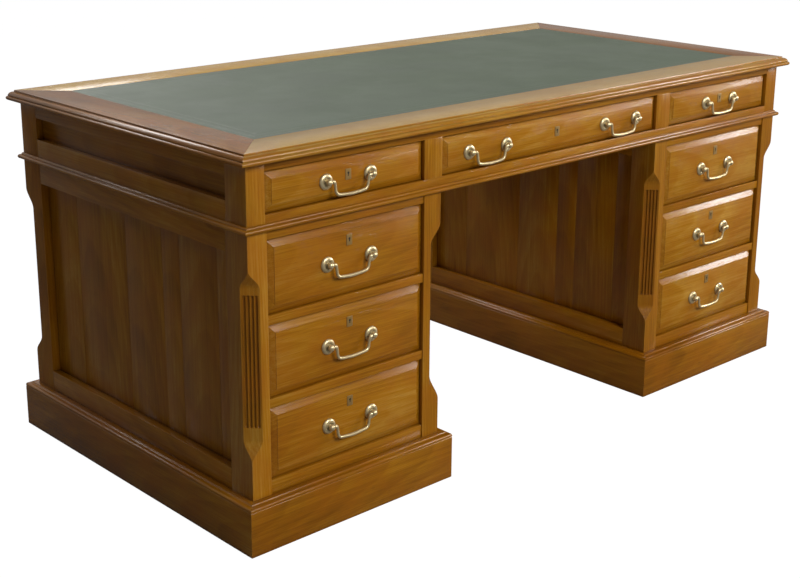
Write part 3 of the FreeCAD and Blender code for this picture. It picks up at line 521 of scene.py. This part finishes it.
def circle(count):  # even steps of one whole turn
    return np.linspace(0, 2 * np.pi, count, endpoint=False)


def polar(radius, angle):
    return np.column_stack([radius * np.cos(angle), radius * np.sin(angle)])


def latheSurface(outline, sides):
    # A turned piece about its axis, which points along -Y. Outline rows are (distance out, radius) in mm.
    outline = np.array(outline, float) * mm
    turn = circle(sides)
    out, radius = outline[:, :1], outline[:, 1:]
    points = np.stack([radius * np.cos(turn), np.repeat(-out, sides, 1), radius * np.sin(turn)], axis=-1)
    return gridSurface(points)


def wireSurface(path, radii, sides):
    # A round wire: each ring stands square to the path, which lies in the XZ plane.
    along = np.gradient(path, axis=0)
    along /= np.linalg.norm(along, axis=1)[:, None]
    across = np.array([0.0, 1.0, 0.0])
    up = np.cross(along, across)
    turn = circle(sides)[:, None]
    spokes = across * np.cos(turn) + up[:, None] * np.sin(turn)
    return gridSurface(path[:, None] + spokes * np.asarray(radii)[:, None, None])


def boxSurface(low, high):
    ring = [(low[0], low[1]), (high[0], low[1]), (high[0], high[1]), (low[0], high[1])]
    return gridSurface(np.array([[(*corner, end[2]) for corner in ring] for end in (low, high)]))


def moved(surface, matrix):
    points, faces = surface
    turn = np.array(matrix.to_3x3())
    return points @ turn.T + np.array(matrix.translation), faces


# ---- finishing a piece

nearby = 2e-6  # corners of one solid closer than this, in metres, are the same corner
easeSet = {"flat": 1.0, "sharp": 25.0, "steps": 2}  # degrees between two faces: still one face, and an arris
shadeSet = {"boards": 35.0, "posts": 28.0, "turned": 40.0, "soft": 60.0}  # degrees that make an edge sharp
grainSet = {"least": (0.0, -0.05, 0.05), "most": (5.0, 0.05, 0.13)}  # metres from the pith line to a board
anyTone = ((0.25, 0.75),) * 3


def read(rows, field, width=1, kind=int):
    values = np.zeros(len(rows) * width, kind)
    rows.foreach_get(field, values)
    return values


def cornersOf(mesh):
    return read(mesh.vertices, "co", 3, float).reshape(-1, 3)


def solidLabels(mesh):
    # Number of each vertex's solid, found by passing the lowest number along the edges.
    first, second = read(mesh.edges, "vertices", 2).reshape(-1, 2).T
    labels = np.arange(len(mesh.vertices))
    while True:
        lowest = np.minimum(labels[first], labels[second])
        fresh = labels.copy()
        np.minimum.at(fresh, first, lowest)
        np.minimum.at(fresh, second, lowest)
        fresh = fresh[fresh]
        if (fresh == labels).all():
            return np.unique(labels, return_inverse=True)[1]
        labels = fresh


def mergedCopy(source):
    # The frame's triangles come loose, solid after solid, and a closed solid uses each edge twice. So if each
    # edge has a random number, the running exclusive-or of them is nothing again where a solid ends. Corners
    # are then joined within each solid alone, and boards that touch stay apart.
    points = cornersOf(source)
    corner = read(source.loops, "vertex_index")
    grid = np.round(points / nearby).astype(int)
    spot = np.unique(grid, axis=0, return_inverse=True)[1].ravel()[corner]
    triangles = spot.reshape(-1, 3)
    edges = np.sort(np.stack([triangles, np.roll(triangles, -1, 1)], -1), -1).reshape(-1, 2)
    edge = np.unique(edges, axis=0, return_inverse=True)[1].ravel()
    marks = np.random.default_rng(0).integers(1, 2 ** 62, edge.max() + 1)[edge].reshape(-1, 3)
    running = np.bitwise_xor.accumulate(np.bitwise_xor.reduce(marks, axis=1))
    solid = np.concatenate([[0], np.cumsum(running == 0)[:-1]])
    owned = np.column_stack([np.repeat(solid, 3), spot])
    _, first, index = np.unique(owned, axis=0, return_index=True, return_inverse=True)
    mesh = bpy.data.meshes.new(source.name + "_merged")
    mesh.from_pydata(points[corner[first]], [], index.reshape(-1, 3).tolist())
    return mesh


def layGrain(mesh, name, along=None, tones=anyTone):
    # Each board gets its own coordinates along the grain, across it and through it, counted from a pith line
    # behind it, and its own tone. The grain runs the long way, or along the axis that is asked for.
    points = cornersOf(mesh)
    labels = solidLabels(mesh)
    place = np.zeros_like(points)
    tone = np.zeros(len(points))
    chance = np.random.default_rng(zlib.crc32(name.encode()))
    for board in range(labels.max() + 1):
        own = labels == board
        low, high = points[own].min(0), points[own].max(0)
        order = np.argsort(low - high)
        if along is not None:
            order = np.array([along] + [axis for axis in order if axis != along])
        start = chance.uniform(grainSet["least"], grainSet["most"])
        place[own] = (points[own] - (low + high) / 2)[:, order] + start
        tone[own] = chance.uniform(*tones[order[0]])
    mesh.attributes.new("grainPlace", "FLOAT_VECTOR", "POINT").data.foreach_set("vector", place.ravel())
    mesh.attributes.new("boardTone", "FLOAT", "POINT").data.foreach_set("value", tone)
    return labels


def eased(mesh, width):
    # Coplanar triangles become one face, then sharp edges are rounded over. The width is in mm.
    flat, sharp = math.radians(easeSet["flat"]), math.radians(easeSet["sharp"])
    work = bmesh.new()
    work.from_mesh(mesh)
    bmesh.ops.dissolve_limit(work, angle_limit=flat, verts=work.verts, edges=work.edges)
    bmesh.ops.recalc_face_normals(work, faces=work.faces)
    arrises = [edge for edge in work.edges if len(edge.link_faces) == 2 and edge.calc_face_angle(0.0) > sharp]
    bmesh.ops.bevel(work, geom=arrises, offset=width * mm, segments=easeSet["steps"], profile=0.5,
                    affect="EDGES", clamp_overlap=True, loop_slide=True)
    work.to_mesh(mesh)
    work.free()
    return mesh


def meshOf(name, surfaces, weld=0.0):  # corners closer than the weld, in metres, become one
    points, faces = joined(surfaces)
    mesh = bpy.data.meshes.new(name)
    mesh.from_pydata(points, [], faces)
    work = bmesh.new()
    work.from_mesh(mesh)
    bmesh.ops.recalc_face_normals(work, faces=work.faces)
    if weld:
        bmesh.ops.remove_doubles(work, verts=work.verts, dist=weld)
        bmesh.ops.dissolve_degenerate(work, edges=work.edges, dist=weld)
    work.to_mesh(mesh)
    work.free()
    return mesh


def piece(name, mesh, body, materials, replaced=(), shade="boards"):
    mesh.polygons.foreach_set("use_smooth", np.ones(len(mesh.polygons), bool))
    mesh.set_sharp_from_angle(angle=math.radians(shadeSet[shade]))
    for material in materials:
        mesh.materials.append(material)
    made = addObject(name, mesh)
    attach(made, body)
    if replaced:
        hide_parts(*replaced)


# ---- boards that keep the frame's shape, with softened arrises

boardSet = {
    "ease": {"frieze_rails": 0.35, "frieze_stiles": 0.35, "frieze_ends": 0.6, "side_rails": 0.5,
             "frieze_runners": 0.6, "top_board": 0.5},
    "pairs": {"drawer_rails": 0.35, "carcass_boards": 0.6, "door": 0.5},  # the same for left and right
    "inner": ("frieze_runners", "top_board"),  # bare wood all through
    "mixed": ("drawer_rails", "carcass_boards"),  # bare wood, but for boards that reach far out
    "showFrom": 391.5,  # so far, in mm from the middle
}
drawerSet = {
    "ease": 0.45,
    # tones per pedestal: the right pedestal's drawers are painted lighter and the left's darker, as painted light
    # falling from the right
    "tones": {"left": (0.4, 0.65), "right": (1.1, 1.35), "frieze": (0.6, 1.0), "back": (0.5, 0.9)},
}
drawerNames = [node for node in nodes if "_drawer_" in node and node + "_fittings" in nodes]


def makeBoards(node, ease, mixed, tones=anyTone):
    mesh = eased(mergedCopy(nodes[node].data), ease)
    labels = layGrain(mesh, node, tones=tones)
    if mixed:
        reach = np.zeros(labels.max() + 1)
        np.maximum.at(reach, labels, np.abs(cornersOf(mesh)[:, 1]))
        hidden = reach < boardSet["showFrom"] * mm
        solid = labels[read(mesh.loops, "vertex_index")[read(mesh.polygons, "loop_start")]]
        mesh.polygons.foreach_set("material_index", hidden[solid].astype(int))
    inner = node in boardSet["inner"]
    woods = [innerWood] if inner else [showWood, innerWood]
    piece(node + "_boards", mesh, bodyOf[node], woods, [node])


print("desk: boards")
for node, ease in boardSet["ease"].items():
    makeBoards(node, ease, False)
for part, ease in boardSet["pairs"].items():
    for hand in ("left_", "right_"):
        makeBoards(hand + part, ease, part in boardSet["mixed"])

print("desk: drawers")
for node in drawerNames:
    makeBoards(node, drawerSet["ease"], True, (drawerSet["tones"][node.split("_")[0]],) * 3)

# ---- mitred mouldings, with all their measures in millimetres

edgeSet = {
    "arris": 13.5, "step": 3.2, "ledge": 1.8, "fall": 11.9, "nose": 3.4, "bulge": 2.2, "quirk": 4.6,
    # tones by the way each length runs: lengths along X are light, so their tops take the painted sheen, and
    # lengths along Y are dark
    "bead": 9.3, "lift": 0.5, "ease": 0.35, "tones": ((1.15, 1.3), (-0.1, 0.05), (0.25, 0.75)),
}
waistSet = {"bead": 9.4, "fillet": 6.2, "bulge": 1.2, "ease": 0.3}
plinthSet = {
    "thick": 34, "shoulder": 7.5, "reach": 4.5, "bulge": 1.3, "step": 3.0, "ledge": 8.0, "lip": 11.0,
    "lipBulge": 0.6, "quirkFall": 10.5, "quirkWide": 1.0, "quirkDeep": 0.8, "block": 45, "blockLift": 6,
    "gap": 0.2, "ease": 0.5, "tones": ((0.0, 0.2),) * 3,
}
mitreGap = 0.12
topLow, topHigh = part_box("top_border")
leatherLow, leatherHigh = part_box("leather_inset")


def arc(start, middle, end, count):
    # Points of the circle through three points, from the first to the last.
    first, half, last = (complex(*point) for point in (start, middle, end))
    ratio = (last - first) / (half - first)
    arm = (half - first) * (abs(ratio) ** 2 - ratio) / (2j * ratio.imag)  # from the centre to the first point
    turns = np.angle((np.array([half, last]) - first + arm) / arm) % (2 * np.pi)
    sweep = turns[1] - 2 * np.pi * (turns[0] > turns[1])
    points = first - arm + arm * np.exp(1j * np.linspace(0, sweep, count))
    return np.column_stack([points.real, points.imag])


def bulged(start, end, rise, count):
    # The arc from start to end that rises to the right of the way, or to the left with a negative rise.
    run, climb = end[0] - start[0], end[1] - start[1]
    share = rise / math.hypot(run, climb)
    middle = ((start[0] + end[0]) / 2 + climb * share, (start[1] + end[1]) / 2 - run * share)
    return arc(start, middle, end, count)


def stacked(*rows):  # single corners and runs of points, one under the other
    return np.concatenate([np.atleast_2d(row) for row in rows])


def mitredLengths(section, halfLength, halfDepth, centre=0.0):
    # Four lengths round a rectangle. Section rows are (inset, height). A length runs along X between mitres,
    # so each of its lines ends as far short of the corner as it is inset; then it is turned to its side.
    inset, height = (section * mm).T
    lengths = []
    for side in range(4):
        run, out = (halfLength, halfDepth) if side % 2 == 0 else (halfDepth, halfLength)
        ends = run - inset - mitreGap * mm
        points = np.stack([np.column_stack([end * ends, inset - out, height]) for end in (-1, 1)])
        turn = Matrix.Translation((centre, 0, 0)) @ Matrix.Rotation(side * math.pi / 2, 4, "Z")
        lengths.append(moved(gridSurface(points), turn))
    return lengths


def makeMoulding(node, lengths, ease, tones=anyTone):
    mesh = eased(meshOf(node + "_lengths", lengths), ease)
    layGrain(mesh, node, tones=tones)
    piece(node + "_lengths", mesh, bodyOf[node], [showWood], [node])


def makeTopBorder(edge):
    # From the top: arris, step, ovolo, quirk and a bead at the foot, as (inset, height).
    band, top, low = (leatherLow.x - topLow.x) / mm, topHigh.z / mm, topLow.z / mm
    step, foot = top - edge["step"], low + edge["lift"]
    head, nose = (edge["arris"] - edge["ledge"], step), (edge["nose"], top - edge["fall"])
    quirk, half = edge["quirk"], edge["bead"] / 2
    section = stacked(
        (band, low), (band, top), (edge["arris"], top), (edge["arris"], step),
        bulged(head, nose, edge["bulge"], 10), (quirk, nose[1]),
        arc((quirk, foot + 2 * half), (0, foot + half), (quirk, foot), 12), (quirk + 1, low))
    makeMoulding("top_border", mitredLengths(section, topHigh.x, topHigh.y), edge["ease"], edge["tones"])


def makeWaist(waist):
    # A bead at the foot, then a hollow that runs up to the frieze.
    low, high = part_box("waist_moulding")
    band = (high.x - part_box("frieze_stiles")[1].x) / mm
    foot, top = low.z / mm, high.z / mm
    half = waist["bead"] / 2
    fillet = (waist["fillet"], foot + waist["bead"])
    section = stacked(
        (band, foot), arc((half, foot), (0.0, foot + half), (half, foot + waist["bead"]), 12),
        bulged(fillet, (band, top), -waist["bulge"], 6))
    makeMoulding("waist_moulding", mitredLengths(section, high.x, high.y), waist["ease"])


def makePlinths(plinth):
    # Upright face, a scratched line, a rounded shoulder, a ledge and a lip against the pedestal.
    low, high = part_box("plinths")
    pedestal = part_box("right_corner_posts")
    centre = (pedestal[0].x + pedestal[1].x) / 2
    top = high.z / mm
    thick, ledge = plinth["thick"], top - plinth["step"]
    shoulder, rounded = (0.0, top - plinth["shoulder"]), (plinth["reach"], ledge)
    inner, lip = (plinth["ledge"], ledge), (plinth["lip"], top)
    scratch = top - plinth["quirkFall"]
    section = stacked(
        (thick, 0.0), (0.0, 0.0), (0.0, scratch - plinth["quirkWide"]), (plinth["quirkDeep"], scratch),
        (0.0, scratch + plinth["quirkWide"]),
        bulged(shoulder, rounded, -plinth["bulge"], 8),
        bulged(inner, lip, plinth["lipBulge"], 5), (thick, top))
    halfLength = high.x - centre
    inset = (thick + plinth["gap"]) * mm
    lengths = []
    for side in (-1, 1):
        lengths += mitredLengths(section, halfLength, high.y, side * centre)
        for x, y in ((-1, -1), (-1, 1), (1, -1), (1, 1)):
            near = np.array([side * centre + x * (halfLength - inset), y * (high.y - inset)])
            far = near - np.array([x, y]) * plinth["block"] * mm
            lengths.append(boxSurface((*np.minimum(near, far), plinth["blockLift"] * mm),
                                      (*np.maximum(near, far), (top - plinth["gap"]) * mm)))
    makeMoulding("plinths", lengths, plinth["ease"], plinth["tones"])


print("desk: mouldings")
makeTopBorder(edgeSet)
makeWaist(waistSet)
makePlinths(plinthSet)

# ---- corner posts

postSet = {
    "width": 44, "depth": 66, "leg": 25.5, "foot": 175, "head": 550, "stop": 42, "ease": 1.0,
    "fluteFoot": 240, "fluteHead": 497, "fluteRadius": 3.0, "flutePitch": 7.4, "flutes": 4,
    "ogeeSteps": 17, "scoopSteps": 11, "swellSteps": 7, "easeSteps": 4,
    "tipGap": 0.01,  # from the end of a flute to the next ring
    "fluteShade": 0.85,  # painted shade: how much darker the fluted stretch of the cant is made
    "weld": 1e-6,
}


def postSurface(post, low, high, corner, inward):
    # The section at each height is a rectangle with its outer corner cut off. The cut grows in a smooth ogee,
    # and where it is full it has scooped flutes, as deep as a ball-ended round tool goes.
    root = math.sqrt(2)
    cutDepth = post["leg"] / root
    foot, head, stop = post["foot"], post["head"], post["stop"]
    radius, gap = post["fluteRadius"], post["tipGap"]
    tips = np.array([post["fluteFoot"], post["fluteHead"]])
    swell = radius * (1 - np.cos(np.linspace(0, np.pi / 2, post["swellSteps"])))
    ogee = stop * np.linspace(0, 1, post["ogeeSteps"])
    heights = np.unique(np.round(np.concatenate([
        [low, high], foot + ogee, head - ogee, tips[0] + swell, tips[1] - swell, tips + (-gap, gap)]), 4))
    rise = np.clip(np.minimum(heights - foot, head - heights) / stop, 0, 1)
    cut = cutDepth * (0.5 - 0.5 * np.cos(np.pi * rise))
    scoop = radius * np.sin(np.linspace(-1, 1, post["scoopSteps"]) * np.pi / 2)
    centres = (np.arange(post["flutes"]) - (post["flutes"] - 1) / 2) * post["flutePitch"]
    lines = np.unique(np.round(np.concatenate(
        [[-cutDepth, cutDepth], (centres[:, None] + scoop).ravel()]), 4))[::-1]
    into = np.clip(np.minimum(heights - tips[0], tips[1] - heights), 0, radius)
    reach = np.sqrt(radius ** 2 - (radius - into) ** 2)
    offset = np.abs(lines[:, None] - centres).min(1)
    dip = np.sqrt(np.clip(reach[:, None] ** 2 - offset[None] ** 2, 0, None))
    along = (cut / cutDepth)[:, None] * lines[None]
    middle = (cut / root)[:, None]
    cant = np.stack([middle + (along + dip) / root, middle + (dip - along) / root], axis=-1)
    wide, deep, ease = post["width"], post["depth"], post["ease"]
    rounded = polar(ease, np.linspace(0, np.pi / 2, post["easeSteps"]))
    plain = np.concatenate([
        (ease, deep - ease) + rounded * (-1, 1), (wide - ease, deep - ease) + rounded[:, ::-1],
        (wide - ease, ease) + rounded * (1, -1)])
    outline = np.concatenate([cant, np.repeat(plain[None], len(heights), 0)], axis=1)
    points = np.concatenate([outline, np.repeat(heights[:, None, None], outline.shape[1], 1)], axis=-1) * mm
    points[..., :2] = corner + points[..., :2] * inward
    return gridSurface(points)


def darkenFlutes(mesh, post, low, high):
    # Painted shade: the tone drops where a corner lies on the cut face, between the outer flutes and between their
    # ends.
    points = cornersOf(mesh)
    across, deep = (np.minimum(points[:, k] - low[k], high[k] - points[:, k]) / mm for k in (0, 1))
    height = points[:, 2] / mm
    fluted = np.abs(across - deep) / math.sqrt(2) < post["flutes"] * post["flutePitch"] / 2
    fluted &= across + deep < post["leg"] + 2 * post["fluteRadius"]
    fluted &= (height > post["fluteFoot"]) & (height < post["fluteHead"])
    tones = mesh.attributes["boardTone"].data
    tones.foreach_set("value", read(tones, "value", kind=float) - post["fluteShade"] * fluted)


def makeCornerPosts(node, post):
    low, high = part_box(node)
    surfaces = [postSurface(post, low.z / mm, high.z / mm, (x, y), (across, deep))
                for x, across in ((low.x, 1), (high.x, -1)) for y, deep in ((low.y, 1), (high.y, -1))]
    mesh = meshOf(node + "_fluted", surfaces, post["weld"])
    layGrain(mesh, node, along=2)
    darkenFlutes(mesh, post, low, high)
    piece(node + "_fluted", mesh, bodyOf[node], [showWood], [node], "posts")


print("desk: corner posts")
makeCornerPosts("left_corner_posts", postSet)
makeCornerPosts("right_corner_posts", postSet)

# ---- side panels of upright boards

panelSet = {
    "recess": 18, "thick": 9, "rail": 44,
    "seams": (-0.42, -0.235, -0.145, 0.05, 0.33),  # shares of the panel's width, from its middle
    "gap": 0.25, "ease": 0.6, "tones": ((0.4, 0.6),) * 3,
}


def makeSidePanels(panel):
    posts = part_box("right_corner_posts")
    halfClear = posts[1].y - postSet["depth"] * mm
    low, high = posts[0].z + panel["rail"] * mm, posts[1].z - panel["rail"] * mm
    marks = np.array([-0.5, *panel["seams"], 0.5]) * 2 * halfClear
    near, far = posts[0].x + panel["recess"] * mm, posts[1].x - panel["recess"] * mm
    thick, gap = panel["thick"] * mm, panel["gap"] * mm / 2
    boards = []
    for face, inward in ((near, 1), (far, -1)):
        for hand in (-1, 1):
            spans = sorted((hand * face, hand * (face + inward * thick)))
            for start, end in zip(marks[:-1], marks[1:]):
                boards.append(boxSurface((spans[0], start + gap, low), (spans[1], end - gap, high)))
    mesh = eased(meshOf("side_panel_boards", boards), panel["ease"])
    layGrain(mesh, "side_panels", along=2, tones=panel["tones"])
    piece("side_panel_boards", mesh, bodyOf["side_panels"], [showWood], ["side_panels"])


print("desk: side panels")
makeSidePanels(panelSet)

# ---- writing leather

liningSet = {
    "lines": (13, 15, 30, 32.5),  # tooled lines, in from the edge
    "half": 0.7, "groove": 0.22,  # half the width of a line, and its depth
    "edge": 1.4, "drop": 0.5,  # how far in the edge is rolled, and how far down
    # rows of the mesh in from the edge and about each line, then even ones over the field
    "edgeRows": (0.0, 0.25, 0.6, 1.0, 1.5, 4.0, 9.0, 22.0, 40.0), "lineRows": (-1.0, -0.5, 0.0, 0.5, 1.0),
    "field": 45, "step": 24,
}


def liningMarks(lining, half):
    inner = np.arange(-half + lining["field"] * mm, half - lining["field"] * mm, lining["step"] * mm)
    beside = np.add.outer(lining["lines"], lining["lineRows"]).ravel()
    near = np.unique([*lining["edgeRows"], *beside]) * mm
    return np.unique(np.concatenate([-half + near, inner, half - near]))


def makeLining(lining):
    # The height falls off in a quarter round at the edge and dips along the tooled lines, both worked out
    # from the distance to the nearest edge.
    marks = (liningMarks(lining, half) for half in (leatherHigh.x, leatherHigh.y))
    x, y = np.meshgrid(*marks, indexing="ij")
    inset = np.minimum(leatherHigh.x - np.abs(x), leatherHigh.y - np.abs(y)) / mm
    fall = lining["drop"] * (1 - np.sqrt(1 - (1 - np.clip(inset / lining["edge"], 0, 1)) ** 2))
    away = np.abs(inset[..., None] - np.array(lining["lines"])).min(-1)
    pressed = np.clip(1 - away / lining["half"], 0, 1)
    height = leatherHigh.z - (fall + lining["groove"] * pressed) * mm
    top = np.stack([x, y, height], axis=-1).reshape(-1, 3)
    index = np.arange(x.size).reshape(x.shape)
    quads = np.stack([index[:-1, :-1], index[1:, :-1], index[1:, 1:], index[:-1, 1:]], -1).reshape(-1, 4)
    rim = np.concatenate([index[:-1, 0], index[-1, :-1], index[:0:-1, -1], index[0, :0:-1]])
    floor = top[rim].copy()
    floor[:, 2] = leatherLow.z
    below = np.arange(len(rim)) + x.size
    sides = np.stack([rim, below, np.roll(below, -1), np.roll(rim, -1)], -1)
    faces = quads.tolist() + sides.tolist() + [below[::-1].tolist()]
    mesh = meshOf("writing_leather", [(np.concatenate([top, floor]), faces)])
    tooling = np.concatenate([pressed.ravel(), np.zeros(len(rim))])
    mesh.attributes.new("tooling", "FLOAT", "POINT").data.foreach_set("value", tooling)
    piece("writing_leather", mesh, bodyOf["leather_inset"], [greenLeather],
          ["leather_inset"], "soft")


print("desk: leather")
makeLining(liningSet)

# ---- handles, keyhole plates and locks

handleSet = {
    "spacing": 108, "reach": 11, "roseSides": 40, "postSides": 28, "wireSides": 14, "wireRings": 97,
    # turned outlines: (distance out from the drawer's face, radius)
    "rose": [(0.0, 15.2), (0.8, 15.5), (1.8, 15.3), (3.0, 14.5), (4.1, 13.2), (4.8, 11.5), (5.0, 9.8),
             (4.8, 8.4), (4.2, 7.2), (3.6, 6.2), (3.4, 5.2), (3.4, 0.02)],
    "post": [(3.3, 0.02), (3.3, 4.6), (4.0, 4.2), (5.0, 3.7), (5.8, 3.8), (6.6, 4.6), (7.8, 5.5), (9.6, 6.1),
             (11.2, 6.2), (12.8, 5.9), (14.2, 5.1), (15.4, 3.7), (16.1, 1.9), (16.3, 0.02)],
    # half of the bail from its pintle inwards: (distance from the middle, height, radius of the wire)
    "bail": [(53.6, 0.0, 1.7), (49.1, 0.0, 1.75), (47.6, 0.05, 3.3), (45.2, 0.0, 4.0), (43.0, -1.2, 3.7),
             (41.4, -4.2, 3.2), (40.3, -9.0, 2.8), (39.4, -15.0, 2.75), (38.0, -20.6, 2.9),
             (34.4, -24.8, 3.1), (28.4, -26.4, 3.15), (16.0, -27.6, 3.1), (0.0, -28.4, 3.3)],
}
plateSet = {
    "fall": 34.75, "wide": 14, "tall": 21, "thick": 0.9, "floor": 0.15, "sides": 72,
    "corner": 14.0,  # power of its outline: the lower, the rounder
    "eye": 2.3, "eyeRise": 2.5, "slot": 1.0, "slotFall": 6.2,
    "slotReach": 0.55,  # the slot keeps to directions less slanted than this
    # rings over the front edge and over the rim of the keyhole: shares of the outline and of the thickness
    "edgeRings": ((1.0, 0.0), (1.0, 0.55), (0.975, 0.9), (0.94, 1.0)), "rimRings": ((1.06, 1.0), (1.0, 0.85)),
    "between": 0.4,  # share of the outline in the ring between the two
}
lockSet = {"wide": 38, "tall": 30, "deep": 8, "behind": 22, "ease": 0.8}


def brassPiece(name, surfaces, body, shade, replaced=(), ease=0.0):
    mesh = meshOf(name, surfaces)
    if ease:
        mesh = eased(mesh, ease)
    piece(name, mesh, body, [agedBrass], replaced, shade)


def bailSurface(handle):
    half = np.array(handle["bail"], float)
    line = smoothLine(np.concatenate([half * (-1, 1, 1), half[-2::-1]]), handle["wireRings"])
    path = np.column_stack([line[:, 0], np.zeros(len(line)), line[:, 1]])
    return wireSurface(path * mm, line[:, 2] * mm, handle["wireSides"])


def roundedBox(halfWide, halfTall, angle, power):
    # Outline of a rectangle with rounded corners.
    near = np.abs(np.cos(angle) / halfWide) ** power + np.abs(np.sin(angle) / halfTall) ** power
    return polar(near ** (-1 / power), angle)


def keyholeOutline(plate, angle):
    # A round eye with a straight slot hanging from it: the further of the two along each direction.
    eye = plate["eye"]
    slope = np.abs(np.cos(angle))
    least = 1e-6  # keeps the divisions finite
    along = np.minimum(plate["slot"] / np.maximum(slope, least),
                       plate["slotFall"] / np.maximum(-np.sin(angle), least))
    hanging = (np.sin(angle) < 0) & (slope < plate["slotReach"])
    size = np.where(hanging, np.maximum(eye, along), eye)
    return polar(size, angle)


def plateSurface(plate):
    # Rings from the back edge over the rounded front edge, in to the keyhole and down to its floor.
    angle = circle(plate["sides"]) + np.pi / plate["sides"]
    rise, thick = plate["eyeRise"], plate["thick"]
    outer = roundedBox(plate["wide"] / 2, plate["tall"] / 2, angle, plate["corner"]) - (0, rise)
    hole = keyholeOutline(plate, angle)
    between = outer * plate["between"] + hole * (1 - plate["between"])
    rings = [(outer * share, thick * out) for share, out in plate["edgeRings"]] + [(between, thick)]
    rings += [(hole * share, thick * out) for share, out in plate["rimRings"]] + [(hole, plate["floor"])]
    points = np.stack([np.column_stack([ring[:, 0], np.full(len(angle), -out), ring[:, 1] + rise])
                       for ring, out in rings])
    return gridSurface(points * mm)


def facing(place, way):  # -1 faces -Y, 1 faces +Y
    return Matrix.Translation(place) @ Matrix.Rotation(math.pi if way > 0 else 0.0, 4, "Z")


def makeKeyPlate(name, body, plate, seat):
    mesh = meshOf(name + "_keyhole_plate", [moved(plateSurface(plate), seat)])
    # The keyhole's floor takes the near-black painted shade.
    mesh.polygons[len(mesh.polygons) - 1].material_index = 1  # the floor of the keyhole
    piece(name + "_keyhole_plate", mesh, body, [dullBrass, keyholeShade], shade="turned")


def makeLockCase(drawer, body, lock, middle, way):
    half = np.array([lock["wide"] / 2, lock["deep"] / 2, lock["tall"] / 2]) * mm
    centre = np.array(middle) - (0, way * (lock["behind"] + lock["deep"] / 2) * mm, 0)
    case = boxSurface(centre - half, centre + half)
    brassPiece(drawer + "_lock_case", [case], body, "boards", ease=lock["ease"])


def makeHandles(drawer, handle, plate, lock):
    body = bodyOf[drawer]
    bails = [node for node in hinges if node.startswith(drawer + "_bail")]
    way = hinges[bails[0]]["axis"][0]  # which way the drawer faces
    seats = []
    for node in bails:
        turn = facing(Vector(hinges[node]["pos_m"]), way)
        brassPiece(node + "_wire", [moved(bailSurface(handle), turn)], node, "soft", [node])
        for side in (-1, 1):
            seat = turn @ Matrix.Translation((side * handle["spacing"] / 2 * mm, handle["reach"] * mm, 0))
            seats.append(moved(latheSurface(handle["rose"], handle["roseSides"]), seat))
            seats.append(moved(latheSurface(handle["post"], handle["postSides"]), seat))
    brassPiece(drawer + "_handle_seats", seats, body, "turned", [drawer + "_fittings"])
    low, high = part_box(drawer)
    face = low.y if way < 0 else high.y
    middle = Vector(((low.x + high.x) / 2, face, high.z - plate["fall"] * mm))
    makeKeyPlate(drawer, body, plate, facing(middle, way))
    makeLockCase(drawer, body, lock, middle, way)


print("desk: handles")
for drawer in drawerNames:
    makeHandles(drawer, handleSet, plateSet, lockSet)

# ---- cupboard door fittings

doorSet = {
    "knob": [(0.0, 13.0), (0.8, 13.0), (1.5, 12.4), (1.8, 10.4), (2.4, 8.0), (3.6, 6.0), (6.0, 4.9),
             (9.0, 5.2), (10.8, 7.6), (12.2, 10.6), (13.8, 12.5), (15.6, 12.9), (17.4, 11.9), (19.0, 8.6),
             (19.8, 4.4), (20.0, 0.02)],
    "knobSides": 40,
    "hinges": (190, 535), "long": 60, "barrel": 3.0, "play": 0.3, "leaf": 0.5, "deep": 20, "reveal": 1.25,
    "face": 396, "lockInset": 70, "plateFall": 45, "edge": 0.4, "sides": 24,
}


def hingeSurfaces(door, pin, outward, spans):
    # One thin leaf standing in the gap beside the door and the knuckles that it carries.
    turn = circle(door["sides"])
    edge, barrel = door["edge"], door["barrel"]
    axis = np.array(pin.xy) / mm
    flank = axis[0] + outward * (door["reveal"] / 2 - door["leaf"] / 2)
    surfaces = []
    for centre in door["hinges"]:
        foot = centre - door["long"] / 2
        surfaces.append(boxSurface(
            ((flank - door["leaf"] / 2) * mm, (door["face"] - door["deep"]) * mm, foot * mm),
            ((flank + door["leaf"] / 2) * mm, pin.y - mm, (foot + door["long"]) * mm)))
        for low, high in spans:
            rings = [(low, barrel - edge), (low + edge, barrel), (high - edge, barrel), (high, barrel - edge)]
            points = [np.column_stack([axis + polar(radius, turn), np.full(len(turn), foot + height)])
                      for height, radius in rings]
            surfaces.append(gridSurface(np.stack(points) * mm))
    return surfaces


def makeDoorFittings(door, plate):
    third = door["long"] / 3
    fixed = []
    for hand, side in (("left", -1), ("right", 1)):
        node = hand + "_door"
        pin = Vector(hinges[node]["pos_m"])
        surfaces = hingeSurfaces(door, pin, -side, [(third + door["play"], 2 * third - door["play"])])
        brassPiece(node + "_hinge_leaves", surfaces, node, "boards", [node + "_fittings"])
        fixed += hingeSurfaces(door, pin, side, [(0.0, third), (2 * third, door["long"])])
        low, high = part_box(node)
        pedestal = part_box(hand + "_corner_posts")
        lockX = side * (min(abs(pedestal[0].x), abs(pedestal[1].x)) + door["lockInset"] * mm)
        middle = Vector((lockX, high.y, (pedestal[0].z + pedestal[1].z) / 2))
        knob = moved(latheSurface(door["knob"], door["knobSides"]), facing(middle, 1))
        brassPiece(node + "_knob", [knob], node, "turned")
        makeKeyPlate(node, node, plate, facing(middle - Vector((0, 0, door["plateFall"] * mm)), 1))
    brassPiece("door_post_leaves", fixed, bodyOf["door_hinge_leaves"], "boards", ["door_hinge_leaves"])


print("desk: door fittings")
makeDoorFittings(doorSet, plateSet)

print("desk: finished")
